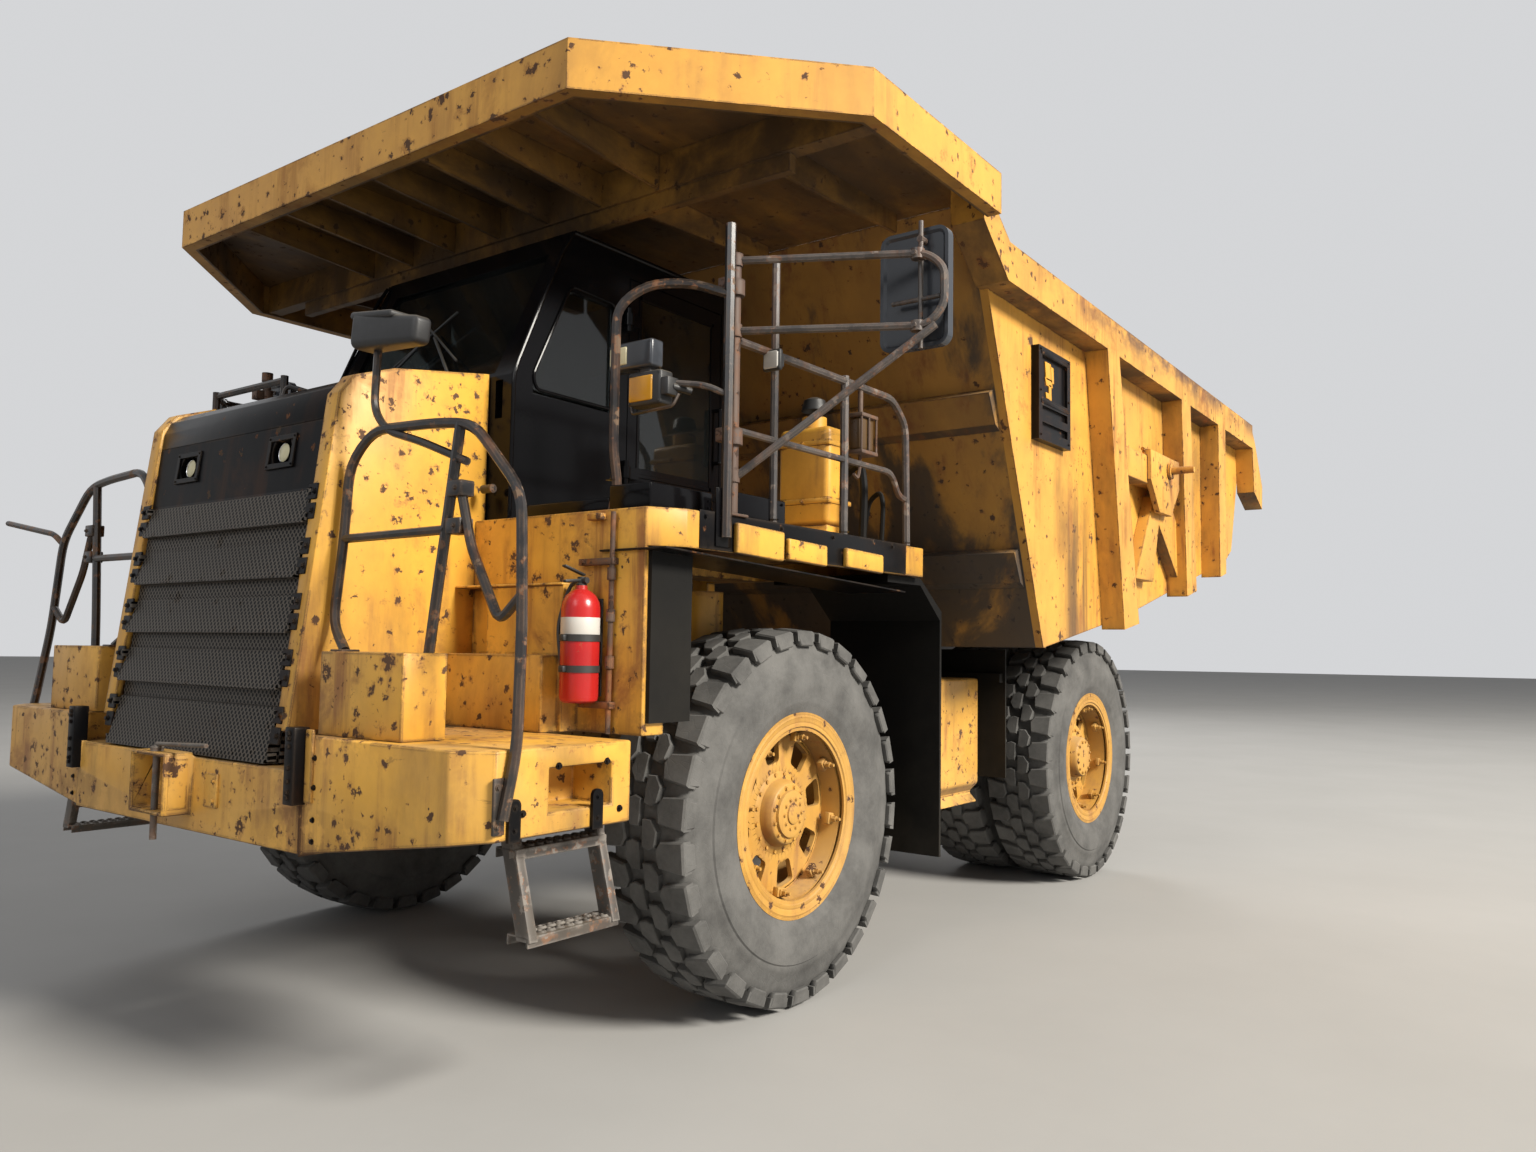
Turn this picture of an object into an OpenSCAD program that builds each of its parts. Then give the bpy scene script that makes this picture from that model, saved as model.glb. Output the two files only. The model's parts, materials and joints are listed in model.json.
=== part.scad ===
// Rigid mining dump truck, two axles, dual rear wheels, canopy over the cab.
// Millimetres. +X is forward, +Y the left side, +Z up, and the ground is at z = 0.
// Lengths along X in the modules are measured from the front axle.

/* [Wheels and axles] */
// Distance from the front axle to the rear axle
wheelbase = 3990; // [3850:10:4150]
// Outer radius of every tyre, over the lugs
tyre_r = 915; // [880:5:930]
// Width of one tyre
tyre_w = 500; // [440:5:505]
// Radius of the rim flange that the tyre sits in
rim_r = 480; // [455:5:505]
// Depth of the shoulder lugs
lug_h = 34; // [20:1:50]
// Number of lugs around each shoulder
lug_n = 26; // [20:1:30]
// Outer face of the front tyres, from the middle of the truck
front_track = 1800; // [1780:5:1840]
// Outer face of the rear tyres, from the middle of the truck
rear_track = 1785; // [1770:5:1830]
// Gap between the two tyres of a rear pair
dual_gap = 70; // [40:5:90]
// Distance of the steering axis from the middle of the truck
kingpin_y = 1100; // [1080:5:1120]

/* [Frame] */
// Outer width over the two frame rails
frame_w = 940; // [880:10:950]
// Width of one frame rail
rail_w = 120; // [90:5:140]
// Height of a frame rail at the engine
rail_h = 400; // [340:10:430]
// Underside of the frame rails at the engine
rail_z = 980; // [950:10:1010]
// Top of the frame rails under the bed
rear_rail_top = 1600; // [1560:5:1600]

/* [Bed] */
// Outer width of the bed over its side plates
bed_w = 4500; // [4440:10:4560]
// Thickness of the side plates and the front wall
bed_wall = 40; // [25:1:60]
// Thickness of the bed's floor
floor_t = 60; // [40:1:80]
// How far the side ribs and the top rail stand out of the side plates
rib_out = 155; // [120:5:170]
// Height of the top rail
top_rail_h = 220; // [180:5:240]
// Height of the bed's pivot above the ground
pivot_z = 1550; // [1540:5:1560]
// Distance of the bed's pivot behind the front axle
pivot_back = 5100; // [5060:10:5140]
// Radius of the pivot pin
pivot_r = 55; // [45:1:65]

/* [Canopy] */
// Width of the canopy
canopy_w = 5010; // [4960:10:5060]
// Width of the canopy's straight front edge
canopy_nose_w = 3200; // [3000:20:3400]
// Top of the canopy above the ground
canopy_top = 4210; // [4200:5:4260]
// Height of the band around the canopy
canopy_h = 215; // [190:5:240]
// Thickness of the canopy's top plate
canopy_t = 20; // [12:1:30]
// Number of ribs under the front of the canopy
canopy_rib_n = 7; // [5:1:9]

/* [Front] */
// Front face of the bumper, ahead of the front axle
bumper_x = 2160; // [2140:5:2190]
// Width over the two side boxes of the bumper
bumper_w = 3900; // [3860:10:3940]
// Top of the bumper's side boxes
bumper_top = 1370; // [1350:5:1385]
// Width of the hood
hood_w = 1600; // [1560:10:1640]
// Width of the grille
grille_w = 1420; // [1380:10:1440]
// Number of louvre panels in the grille
louvre_n = 5; // [4:1:6]
// Thickness of the hood's and the fenders' sheet metal
sheet_t = 12; // [8:1:20]

/* [Deck and cab] */
// Top of the deck on both sides of the hood
deck_top = 2290; // [2270:5:2310]
// Thickness of the deck
deck_t = 160; // [130:5:180]
// Left side of the cab, from the middle of the truck
cab_left = 950; // [930:5:970]
// Width of the cab
cab_w = 1500; // [1440:10:1540]
// Thickness of the cab's walls, roof and door
cab_wall = 50; // [35:1:60]
// Radius of the handrail tube
tube_r = 21; // [16:1:25]

/* [Hoist] */
// Outer radius of a hoist cylinder's barrel
hoist_r = 80; // [70:1:84]
// Distance of each hoist cylinder from the middle of the truck
hoist_y = 640; // [630:2:644]
// Height of the hoist's lower pin above the ground
hoist_low_z = 750; // [745:1:755]

/* [Hidden] */
$fn = 32;

yellow = "goldenrod";
black = "dimgray";
steel = "silver";
soft_black = "darkslategray";

front_x = 2300;
rear_x = -wheelbase;
axle_z = tyre_r;
fit = 0.1;
seat = 0.3;
big = 10000;
// The deck is as wide as the bumper, and the roof stays under the canopy
deck_y = bumper_w / 2;
cab_top = canopy_top - 450;

// Everything below is placed from the front axle
module placed() translate([front_x, 0, 0]) children();
module both() {
    children();
    mirror([0, 1, 0]) children();
}
// A box from its low corner to its high corner
module block(lo, hi) translate(lo) cube(hi - lo);
// An outline in X and Z, given a thickness along Y
module side_plate(y0, y1) translate([0, y1, 0]) rotate([90, 0, 0])
    linear_extrude(height = y1 - y0) children();
// An outline in Y and Z, given a length along X
module front_plate(x0, x1) translate([x0, 0, 0]) rotate([90, 0, 90])
    linear_extrude(height = x1 - x0) children();
// A round bar between two points
module bar(p, q, r) {
    d = q - p;
    len = norm(d);
    translate(p)
        rotate([0, acos(d.z / len), atan2(d.y, d.x)])
            cylinder(r = r, h = len);
}
// Posts are a little thicker than the rails that end in them, braces thinner
post_r = tube_r + 5;
brace_r = tube_r - 4;
// A bent tube through a list of points, with a round knee at each bend
module bent_tube(points, r) {
    for (i = [0 : len(points) - 2]) bar(points[i], points[i + 1], r);
    for (i = [1 : len(points) - 2]) translate(points[i]) sphere(r = r * 1.12);
}
// A cylinder along Y between two places
module along_y(x, z, y0, y1, r, sides = 48) translate([x, y0, z])
    rotate([-90, 0, 0]) cylinder(r = r, h = y1 - y0, $fn = sides);

// Wheels
// A tyre's half section: [distance from the wheel's middle plane, radius]
bead_y = tyre_w / 2 - 70;
module tyre_section() polygon([
    [-bead_y, rim_r - 30], [-bead_y - 25, rim_r + 20], [-tyre_w / 2, rim_r + 150],
    [-tyre_w / 2, rim_r + 215], [-tyre_w / 2 + 28, tyre_r - lug_h - 55],
    [-tyre_w / 2 + 60, tyre_r - lug_h], [tyre_w / 2 - 60, tyre_r - lug_h],
    [tyre_w / 2 - 28, tyre_r - lug_h - 55], [tyre_w / 2, rim_r + 215],
    [tyre_w / 2, rim_r + 150], [bead_y + 25, rim_r + 20], [bead_y, rim_r - 30],
]);
// A ring about the Y axis from an outline of [place along Y, radius]
tyre_sides = 48;
module ring(sides = 64) rotate([-90, 0, 0]) rotate_extrude($fn = sides)
    rotate(-90) mirror([1, 0]) children();
// Shoulder lugs on one side, wedges that stand out of the tread and wrap over its edge
lug_w = 2 * tyre_r * sin(180 / lug_n) * 0.56;
lug_in = tyre_w / 2 - 150;
module tyre_lugs(shift) for (i = [0 : lug_n - 1])
    rotate([0, (i + shift) * 360 / lug_n, 0]) translate([-lug_w / 2, 0, 0])
        rotate([90, 0, 90]) linear_extrude(height = lug_w) polygon([
            [lug_in, tyre_r - lug_h - 20], [tyre_w / 2 - 60, tyre_r - lug_h - 60],
            [tyre_w / 2 - 10, tyre_r - lug_h - 62], [tyre_w / 2 - 28, tyre_r - 10],
            [lug_in, tyre_r - 5],
        ]);
module tyre(y) translate([0, y, axle_z]) {
    ring(tyre_sides) tyre_section();
    tyre_lugs(0);
    mirror([0, 1, 0]) tyre_lugs(0.5);
    // Blocks in the middle of the tread
    ring(lug_n) polygon([
        [-70, tyre_r - lug_h - 5], [-70, tyre_r], [70, tyre_r], [70, tyre_r - lug_h - 5],
    ]);
}
front_tyre_y = front_track - tyre_w / 2;
rear_outer_y = rear_track - tyre_w / 2;
rear_inner_y = rear_outer_y - tyre_w - dual_gap;
spindle_r = 90;
hub_r = 150;
rim_in = rim_r - 70;
bead_r = rim_r - 30.3;
// A rim barrel with its flanges and its disc, about the wheel's middle plane
module rim(y, disc_y) translate([0, y, axle_z]) {
    ring() polygon([
        [-bead_y, bead_r], [-bead_y - 2, rim_in], [bead_y + 2, rim_in], [bead_y, bead_r],
    ]);
    for (s = [-1, 1]) ring() polygon([
        [s * (bead_y + 1), rim_in], [s * (bead_y + 1.5), rim_r - 31],
        [s * (bead_y + 26.5), rim_r + 18], [s * (bead_y + 36), rim_r + 14],
        [s * (bead_y + 36), rim_in],
    ]);
    difference() {
        ring() polygon([
            [disc_y - 20, spindle_r + fit], [disc_y - 20, rim_in + 4],
            [disc_y + 20, rim_in + 4], [disc_y + 20, spindle_r + fit],
        ]);
        for (i = [0 : 9]) rotate([0, i * 36, 0])
            along_y(330, 0, disc_y - 30, disc_y + 30, 42, 24);
    }
}
// The hub that closes a wheel's middle
module hub(y0, y1) difference() {
    union() {
        along_y(0, axle_z, y0, y1, hub_r + 80, 48);
        along_y(0, axle_z, y1 - 1, y1 + 70, hub_r, 48);
    }
    along_y(0, axle_z, y0 - 1, y1 + 20, spindle_r + fit, 48);
}
front_disc = 40;
module front_rim() {
    rim(front_tyre_y, front_disc);
    hub(front_tyre_y + front_disc - 60, front_tyre_y + front_disc + 60);
}
rear_disc = 60;
module rear_rims() translate([rear_x, 0, 0]) {
    rim(rear_outer_y, rear_disc);
    rim(rear_inner_y, rear_disc);
    difference() {
        along_y(0, axle_z, rear_inner_y + rear_disc - 40, rear_outer_y + rear_disc + 20,
            hub_r + 90, 48);
        along_y(0, axle_z, rear_inner_y - 200, rear_outer_y + rear_disc - 30,
            spindle_r + fit, 48);
    }
    along_y(0, axle_z, rear_outer_y + rear_disc + 10, rear_outer_y + rear_disc + 90,
        hub_r, 48);
}
module front_left_tyre() color(black) placed() tyre(front_tyre_y);
module front_right_tyre() color(black) placed() mirror([0, 1, 0]) tyre(front_tyre_y);
module front_left_rim() color(yellow) placed() front_rim();
module front_right_rim() color(yellow) placed() mirror([0, 1, 0]) front_rim();
module rear_tyre_pair() translate([rear_x, 0, 0]) {
    tyre(rear_outer_y);
    tyre(rear_inner_y);
}
module rear_left_tyres() color(black) placed() rear_tyre_pair();
module rear_right_tyres() color(black) placed() mirror([0, 1, 0]) rear_tyre_pair();
module rear_left_rims() color(yellow) placed() rear_rims();
module rear_right_rims() color(yellow) placed() mirror([0, 1, 0]) rear_rims();

// Front suspension: each strut is also the steering axis
strut_r = 125;
strut_split_z = 1250;
strut_rod_r = 85;
tower_z0 = 1880;
tower_z1 = 2020;
module knuckle() {
    translate([0, kingpin_y, 660]) cylinder(r = strut_r, h = strut_split_z - 665, $fn = 48);
    translate([0, kingpin_y, strut_split_z - 10])
        cylinder(r = strut_rod_r, h = 330, $fn = 48);
    along_y(0, axle_z, kingpin_y, front_tyre_y + front_disc + 70, spindle_r, 48);
    along_y(0, axle_z, kingpin_y + 60, front_tyre_y - tyre_w / 2 + 40, hub_r + 60, 48);
    // Steering arm behind the strut
    block([-330, kingpin_y - 60, 700], [-60, kingpin_y + 60, 770]);
}
module knuckle_left() color(yellow) placed() knuckle();
module knuckle_right() color(yellow) placed() mirror([0, 1, 0]) knuckle();
module strut_housings() color(yellow) placed() both() {
    difference() {
        translate([0, kingpin_y, strut_split_z + 60])
            cylinder(r = strut_r, h = tower_z1 - strut_split_z - 60, $fn = 48);
        translate([0, kingpin_y, strut_split_z])
            cylinder(r = strut_rod_r + fit, h = 340, $fn = 48);
    }
    block([-150, frame_w / 2 - rail_w, tower_z0], [150, kingpin_y - 60, tower_z1]);
    block([-150, frame_w / 2 - rail_w, rail_z + rail_h],
        [150, frame_w / 2, tower_z0 + 10]);
}

// Frame
rail_in = frame_w / 2 - rail_w;
rail_out = frame_w / 2;
rail_front = 1900;
kick_x = -2150;
arch_x = -3300;
arch_z = 1255;
rail_eye_r = 125;
module rail_outline() polygon([
    [rail_front, rail_z], [arch_x + 350, rail_z], [arch_x, arch_z],
    [-pivot_back + 150, arch_z + 40], [-pivot_back, pivot_z - rail_eye_r],
    [-pivot_back, pivot_z], [-pivot_back + 240, rear_rail_top], [kick_x, rear_rail_top],
    [kick_x + 850, rail_z + rail_h], [rail_front, rail_z + rail_h],
]);
// Cross members: [x, low z, high z, half thickness]
cross_members = [
    [1750, rail_z + 60, rail_z + 300, 60], [-1250, 1290, 1370, 80],
    [-2500, rail_z + 150, rail_z + 420, 80], [-4600, 1340, 1560, 70],
];
module chassis_frame() color(yellow) placed() difference() {
    union() {
        both() {
            side_plate(rail_in, rail_out) rail_outline();
            along_y(-pivot_back, pivot_z, rail_in, rail_out, rail_eye_r);
            // Hoist brackets beside the rails
            side_plate(rail_out - 1, hoist_y - hoist_r - 12)
                polygon([[-3000, 1180], [-2620, 1180], [-2700, hoist_low_z - 70],
                    [-2900, hoist_low_z - 70]]);
        }
        // Rear cross plate that carries the tail lamps
        block([lamp_bar_x, -rail_out, 1330], [lamp_bar_x + 30, rail_out, 1490]);
        both() block([lamp_bar_x + 29, rail_in, 1380], [-pivot_back - 60, rail_out, 1460]);
        // Pins for the hoists' lower eyes, each its own bar against the bracket
        both() along_y(hoist_low_x, hoist_low_z, hoist_y - hoist_r - 12 + seat,
            hoist_y + eye_half + 15, hoist_pin_r);
        for (m = cross_members)
            block([m[0] - m[3], -rail_in - 1, m[1]], [m[0] + m[3], rail_in + 1, m[2]]);
    }
    along_y(-pivot_back, pivot_z, -big / 5, big / 5, pivot_r + fit);
}
ear_y0 = rail_out + 10;
ear_y1 = ear_y0 + 90;
module bed_pivot_pin() color(steel) placed()
    along_y(-pivot_back, pivot_z, -ear_y1 - 30, ear_y1 + 30, pivot_r);

// Rear axle
axle_tube_r = 230;
module rear_axle() color(yellow) placed() translate([rear_x, 0, 0]) {
    along_y(0, axle_z, -rear_inner_y + tyre_w / 2 - 60, rear_inner_y - tyre_w / 2 + 60,
        axle_tube_r);
    along_y(0, axle_z, -rear_outer_y - rear_disc + 60, rear_outer_y + rear_disc - 60,
        spindle_r);
    translate([0, 0, axle_z]) intersection() {
        sphere(r = 330, $fn = 48);
        cube([700, 520, 640], center = true);
    }
    translate([320, 0, axle_z]) rotate([0, 90, 0]) cylinder(r = 110, h = 160);
    both() block([-380, rail_in - 160, axle_z + 20], [-150, rail_in, axle_z + 110]);
    both() bar([arm_front_x - rear_x - 60, 100, arm_z], [150, 210, axle_z - 60], 50);
    block([arm_front_x - rear_x - 90, -150, arm_z - 60],
        [arm_front_x - rear_x - seat, 150, arm_z + 60]);
}
// A forward arm with a nose joint and two struts carry the rear axle
arm_front_x = -2560;
arm_z = 860;
nose_x = arm_front_x + 120;
module rear_suspension() color(yellow) placed() {
    both() {
        translate([rear_x - 300, rail_in - 80, axle_z + 110 + seat])
            cylinder(r = 75, h = 1500 - axle_z - 110 - seat, $fn = 48);
        block([rear_x - 370, rail_in - 150, 1400], [rear_x - 230, rail_in - seat, 1500]);
        // Hangers beside the drive shaft
        block([arm_front_x, 75, arm_z], [nose_x, 155, rail_z + 150 - seat]);
    }
    block([arm_front_x, -156, arm_z - 70], [nose_x, 156, arm_z + 70]);
}
module drive_shaft() color(steel) placed() {
    bar([-1112, 0, 1180], [rear_x + 490, 0, axle_z], 55);
    bar([-1112, 0, 1180], [-1180, 0, 1171.5], 90);
    bar([rear_x + 560, 0, axle_z + 8], [rear_x + 490, 0, axle_z], 90);
}

// Engine, shown as one closed mass
module engine_block() color(black) placed() {
    block([-350, -rail_in + seat, rail_z + 60], [1200, rail_in - seat, 2000]);
    block([-1100, -240, rail_z + 40], [-350, 240, rail_z + 480]);
}

// Bumper: a lower middle section between two side boxes with chamfered corners
bumper_low = 925;
bumper_mid_y = 960;
bumper_mid_top = 1235;
function bumper_under(y) = y > bumper_w / 2 - bumper_corner
    ? bumper_low + 125 + (y - bumper_w / 2 + bumper_corner) * 15 / bumper_corner
    : bumper_low + 125 * (y - bumper_mid_y) / (bumper_w / 2 - bumper_corner - bumper_mid_y);
bumper_back = 1400;
bumper_corner = 130;
recess_x0 = 1500;
recess_x1 = 1810;
module bumper_side_plan() polygon([
    [bumper_back, bumper_mid_y], [bumper_back, bumper_w / 2],
    [bumper_x - 110, bumper_w / 2], [bumper_x - 15, bumper_w / 2 - bumper_corner],
    [bumper_x - 15, bumper_mid_y],
]);
module front_bumper() color(yellow) placed() {
    block([bumper_x - 230, -bumper_mid_y - 1, bumper_low],
        [bumper_x, bumper_mid_y + 1, bumper_mid_top]);
    both() difference() {
        intersection() {
            translate([0, 0, bumper_low]) linear_extrude(height = bumper_top - bumper_low)
                bumper_side_plan();
            front_plate(bumper_back - 1, bumper_x) polygon([
                [bumper_mid_y - 1, bumper_low],
                for (y = [bumper_w / 2 - bumper_corner, bumper_w / 2 + 1]) [y, bumper_under(y)],
                [bumper_w / 2 + 1, bumper_top],
                [bumper_mid_y - 1, bumper_top],
            ]);
        }
        block([recess_x0, bumper_w / 2 - 210, bumper_low + 215],
            [recess_x1, bumper_w / 2 + 1, bumper_low + 370]);
    }
    // Black end brackets of the middle section
    both() block([bumper_x - 20, bumper_mid_y - 40, bumper_low + 190],
        [bumper_x + 40, bumper_mid_y + 20, bumper_top + 30]);
    tow_box();
    // Arms back to the frame rails
    both() block([rail_front, rail_in, rail_z], [bumper_x - 229, rail_out, rail_z + 300]);
}
// Tow box: two side plates with a floor and a roof that a loose pin goes through
tow_out = 120;
tow_half = 150;
tow_low = 995;
tow_high = 1255;
tow_plate = 16;
pin_x = bumper_x + tow_out - 40;
tow_pin_r = 14;
module tow_box() difference() {
    union() {
        for (z = [tow_low, tow_high - tow_plate])
            block([bumper_x - 1, -tow_half, z], [bumper_x + tow_out, tow_half, z + tow_plate]);
        both() side_plate(tow_half - tow_plate, tow_half) polygon([
            [bumper_x - 1, tow_low], [bumper_x + tow_out, tow_low],
            [bumper_x + tow_out, tow_high], [bumper_x - 1, tow_high],
        ]);
    }
    translate([pin_x, 0, tow_low - 50]) cylinder(r = tow_pin_r + fit, h = 400);
}
module tow_pin() color(steel) placed() {
    translate([pin_x, 0, tow_low - 110]) cylinder(r = tow_pin_r, h = 395);
    // Stop and bent handle on top
    translate([pin_x, 0, tow_high + seat]) cylinder(r = tow_pin_r + 12, h = 20);
    bar([pin_x, 0, tow_high + 30], [pin_x - 10, 390, tow_high + 45], 9);
}

// Hood: two side sheets and a top sheet that follow one outline
hood_lean = 0.1192;
hood_low = bumper_top + 4;
function hood_face(z) = 2124 - (z - hood_low) * hood_lean;
hood_back = 1195;
hood_side_top = 2750;
hood_top = [
    [hood_face(hood_side_top), hood_side_top], [1893, 2838], [1700, 2905], [hood_back, 2985],
];
module hood_side_outline() polygon(concat(hood_top, [
    [hood_back, 1700], [1350, hood_low], [hood_face(hood_low), hood_low],
]));
flange_in = grille_w / 2 + seat;
module hood() color(yellow) placed() both() {
    side_plate(hood_w / 2 - sheet_t, hood_w / 2) hood_side_outline();
    side_plate(flange_in, hood_w / 2 - sheet_t + 1) polygon(concat(
        [for (i = [0 : 2]) hood_top[i]],
        [hood_top[2] - [10, 30], hood_top[1] - [30, 30], [hood_face(hood_side_top) - 30,
            hood_side_top - 20], [hood_face(hood_low) - 30, hood_low],
            [hood_face(hood_low), hood_low]]));
}
// Black top sheet with the rounded nose between the two sides
nose_low = 2650;
module hood_top_sheet() color(black) placed() {
    side_plate(-flange_in + seat, flange_in - seat) polygon([
        [hood_face(nose_low) - 12, nose_low + seat], [hood_face(2730) - 12, 2730],
        [hood_face(2790) - 32, 2790], [1893 - 25, 2838 - 8], [1700, 2905 - 8],
        [1700, 2905 - 8 - sheet_t], [1893 - 35, 2838 - 8 - sheet_t],
        [hood_face(2790) - 45, 2785 - sheet_t], [hood_face(2730) - 25, 2725 - sheet_t],
        [hood_face(nose_low) - 40, nose_low + seat],
    ]);
    side_plate(-hood_w / 2 + sheet_t + seat, hood_w / 2 - sheet_t - seat) polygon([
        [1689, 2901 - 8], [hood_back, 2985 - 8], [hood_back, 2985 - 8 - sheet_t],
        [1689, 2901 - 8 - sheet_t],
    ]);
}

// Grille: a lamp panel on top and overlapping louvre panels below, on one back plate
grille_low = bumper_mid_top + 5;
grille_top = nose_low;
lamp_panel_low = 2370;
louvre_pitch = (lamp_panel_low - grille_low) / louvre_n;
louvre_out = 45;
tab_w = 22;
lamp_y = 404;
lamp_z = 2537;
lamp_r = 62;
module radiator_grille() color(black) placed() {
    g = grille_w / 2 - tab_w;
    difference() {
        side_plate(-flange_in + seat, flange_in - seat) polygon([
            [hood_face(grille_low) - 40, grille_low], [hood_face(grille_top) - 12, grille_top],
            [hood_face(grille_top) - 110, grille_top],
            [hood_face(grille_low) - 110, grille_low],
        ]);
        both() translate([hood_face(lamp_z) - 25, lamp_y, lamp_z]) rotate([0, 90, 0])
            cylinder(r = lamp_r + 12, h = 300, center = true);
    }
    for (i = [0 : louvre_n - 1]) {
        z0 = grille_low + i * louvre_pitch;
        recess = i == 0 ? 4 : louvre_pitch * 0.3;
        side_plate(-g, g) polygon([
            [hood_face(z0 + recess) - 60, z0 + recess - 3],
            [hood_face(z0 + recess) + louvre_out - 30, z0 + recess],
            [hood_face(z0 + louvre_pitch) - 18, z0 + louvre_pitch - 4],
            [hood_face(z0 + louvre_pitch) - 60, z0 + louvre_pitch - 2],
        ]);
        // Tabs at the panel's ends
        for (s = [-1, 1], z = [z0 + recess + 8, z0 + louvre_pitch - 45])
            block([hood_face(z) - 26, s > 0 ? g - 1 : -g - tab_w, z],
                [hood_face(z) + 8, s > 0 ? g + tab_w : -g + 1, z + 32]);
    }
}
module headlamps() color("white") placed() both()
    translate([hood_face(lamp_z) - 105, lamp_y, lamp_z]) rotate([0, 90, 0])
        cylinder(r = lamp_r + 11.7, h = 70);

// Decks with the step boxes, on both sides of the hood
fender_x = 1250;
fender_y = 1860;
deck_back = -900;
deck_in = hood_w / 2 + seat;
deck_low = deck_top - deck_t;
// Step boxes: [back x, front x, inner y, outer y, top z]
step_boxes = [
    [1900, 2093, 960, 1482, 1690], [1240, 1430, 860, 1470, 1685],
    [1240, 1340, 1012, 1490, 1975], [1200, 1350, 801, 1490, 1974],
];
module deck_half() {
    difference() {
        translate([0, 0, deck_low]) linear_extrude(height = deck_t) polygon([
            [deck_back, 560], [deck_back, deck_y], [1100, deck_y], [fender_x, fender_y],
            [fender_x, deck_in], [hood_back - seat, deck_in], [hood_back - seat, 560],
        ]);
        // The deck plate is thin over the wheel
        block([deck_back + 60, deck_in + 30, deck_low - 1], [900, deck_y - 30, deck_top - 60]);
    }
    difference() {
        block([fender_x - 130, deck_in, bumper_top], [fender_x, fender_y, deck_low + 1]);
        block([fender_x - 131, deck_in + 40, bumper_top - 1],
            [fender_x - sheet_t, fender_y - 40, deck_low + 2]);
    }
    for (i = [0 : 2]) let (b = step_boxes[i]) block([b[0], b[2], bumper_top],
        [b[1], b[3], b[4]]);
    // Tread plate of the top step, over the open niche beside the hood
    let (b = step_boxes[3]) block([b[0], deck_in, b[4]], [b[1], b[3], b[4] + sheet_t]);
}
// The left deck also carries the cab between the hood's sides
module deck_left() color(yellow) placed() {
    deck_half();
    block([deck_back, -550, deck_top - 60], [hood_back - seat, 561, deck_top]);
    block([deck_back, -550, deck_low], [deck_back + 80, 561, deck_top]);
    // Legs that stand on the frame rails
    both() block([deck_back, rail_in, rear_leg_z], [deck_back + 80, rail_out, deck_low + 1]);
}
rear_leg_z = rail_z + rail_h;
module deck_right() color(yellow) placed() mirror([0, 1, 0]) deck_half();

// Boarding ladders under the bumper's ends
ladder_x0 = 1390;
ladder_x1 = 1840;
ladder_low = 690;
ladder_y = bumper_w / 2 - bumper_corner - 92;
module boarding_ladders() color(steel) placed() both() {
    for (x = [ladder_x0, ladder_x1 - 40])
        front_plate(x, x + 40) polygon([
            [ladder_y, bumper_under(ladder_y) - seat],
            [ladder_y + 70, bumper_under(ladder_y + 70) - seat],
            [ladder_y + 140, ladder_low], [ladder_y + 70, ladder_low],
        ]);
    for (s = [[ladder_low, ladder_y + 60], [ladder_low + 300, ladder_y - 30]])
        block([ladder_x0, s[1], s[0]], [ladder_x1, s[1] + 110, s[0] + 40]);
}

// Black guards round the front wheels and ahead of the rear wheels
flap_x = -1215;
rear_flap_x = -2500;
module mudguards() color(black) placed() both() {
    // Channel and side plate in front of the wheel
    block([fender_x - 270, fender_y - 80, 1420], [fender_x - 130 - seat, fender_y + 20,
        deck_low - seat]);
    block([fender_x - 131, fender_y + seat, 1420], [fender_x - 20, fender_y + 20,
        deck_low - seat]);
    // Plate over the wheel, its rear slope and the hanging flap
    side_plate(1150, 1900) polygon([
        [deck_back + 300, deck_low - seat], [deck_back + 300, deck_low - 40],
        [deck_back - 60, deck_low - 40], [flap_x + 20, 1900], [flap_x + 20, 560],
        [flap_x, 560], [flap_x, 1950], [deck_back - 60, deck_low - seat],
    ]);
    block([rear_flap_x, 760, 880], [rear_flap_x + 14, 1720, 1740]);
    block([rear_flap_x + 13, rail_out, 1520], [rear_flap_x + 60, 1700, 1580]);
}

// Tanks between the wheels
module tank(y1) {
    difference() {
        block([-2330, 600, 730], [-1370, y1, 1550]);
        for (z = [730, 1550]) translate([-2331, y1, z]) rotate([45, 0, 0])
            cube([1000, 90, 90], center = false);
    }
    for (x = [-2200, -1560]) block([x, rail_out, 1060], [x + 60, 601, 1300]);
}
module fuel_tank() color(yellow) placed() tank(1600);
module hydraulic_tank() color(yellow) placed() mirror([0, 1, 0]) tank(1450);

// Cab: an outline in X and Z, hollow, with its windows and doorway cut
cab_right = cab_left - cab_w;
cab_front = 1190;
cab_back = -480;
cab_kink_z = 2970;
screen_top_x = 860;
screen_top_z = cab_top - 90;
door_x0 = -330;
door_x1 = 430;
door_z0 = deck_top + 90;
door_z1 = cab_top - 130;
window_z0 = 2900;
function screen_x(z) = cab_front
    - (z - cab_kink_z) * (cab_front - screen_top_x) / (screen_top_z - cab_kink_z);
module cab_outline(w) {
    lean = w * 1.1;
    polygon([
        [cab_back + w, deck_top + w], [cab_front - w, deck_top + w],
        [cab_front - w, cab_kink_z], [screen_x(cab_top - w) - lean, cab_top - w],
        [cab_back + w, cab_top - w],
    ]);
}
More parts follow.
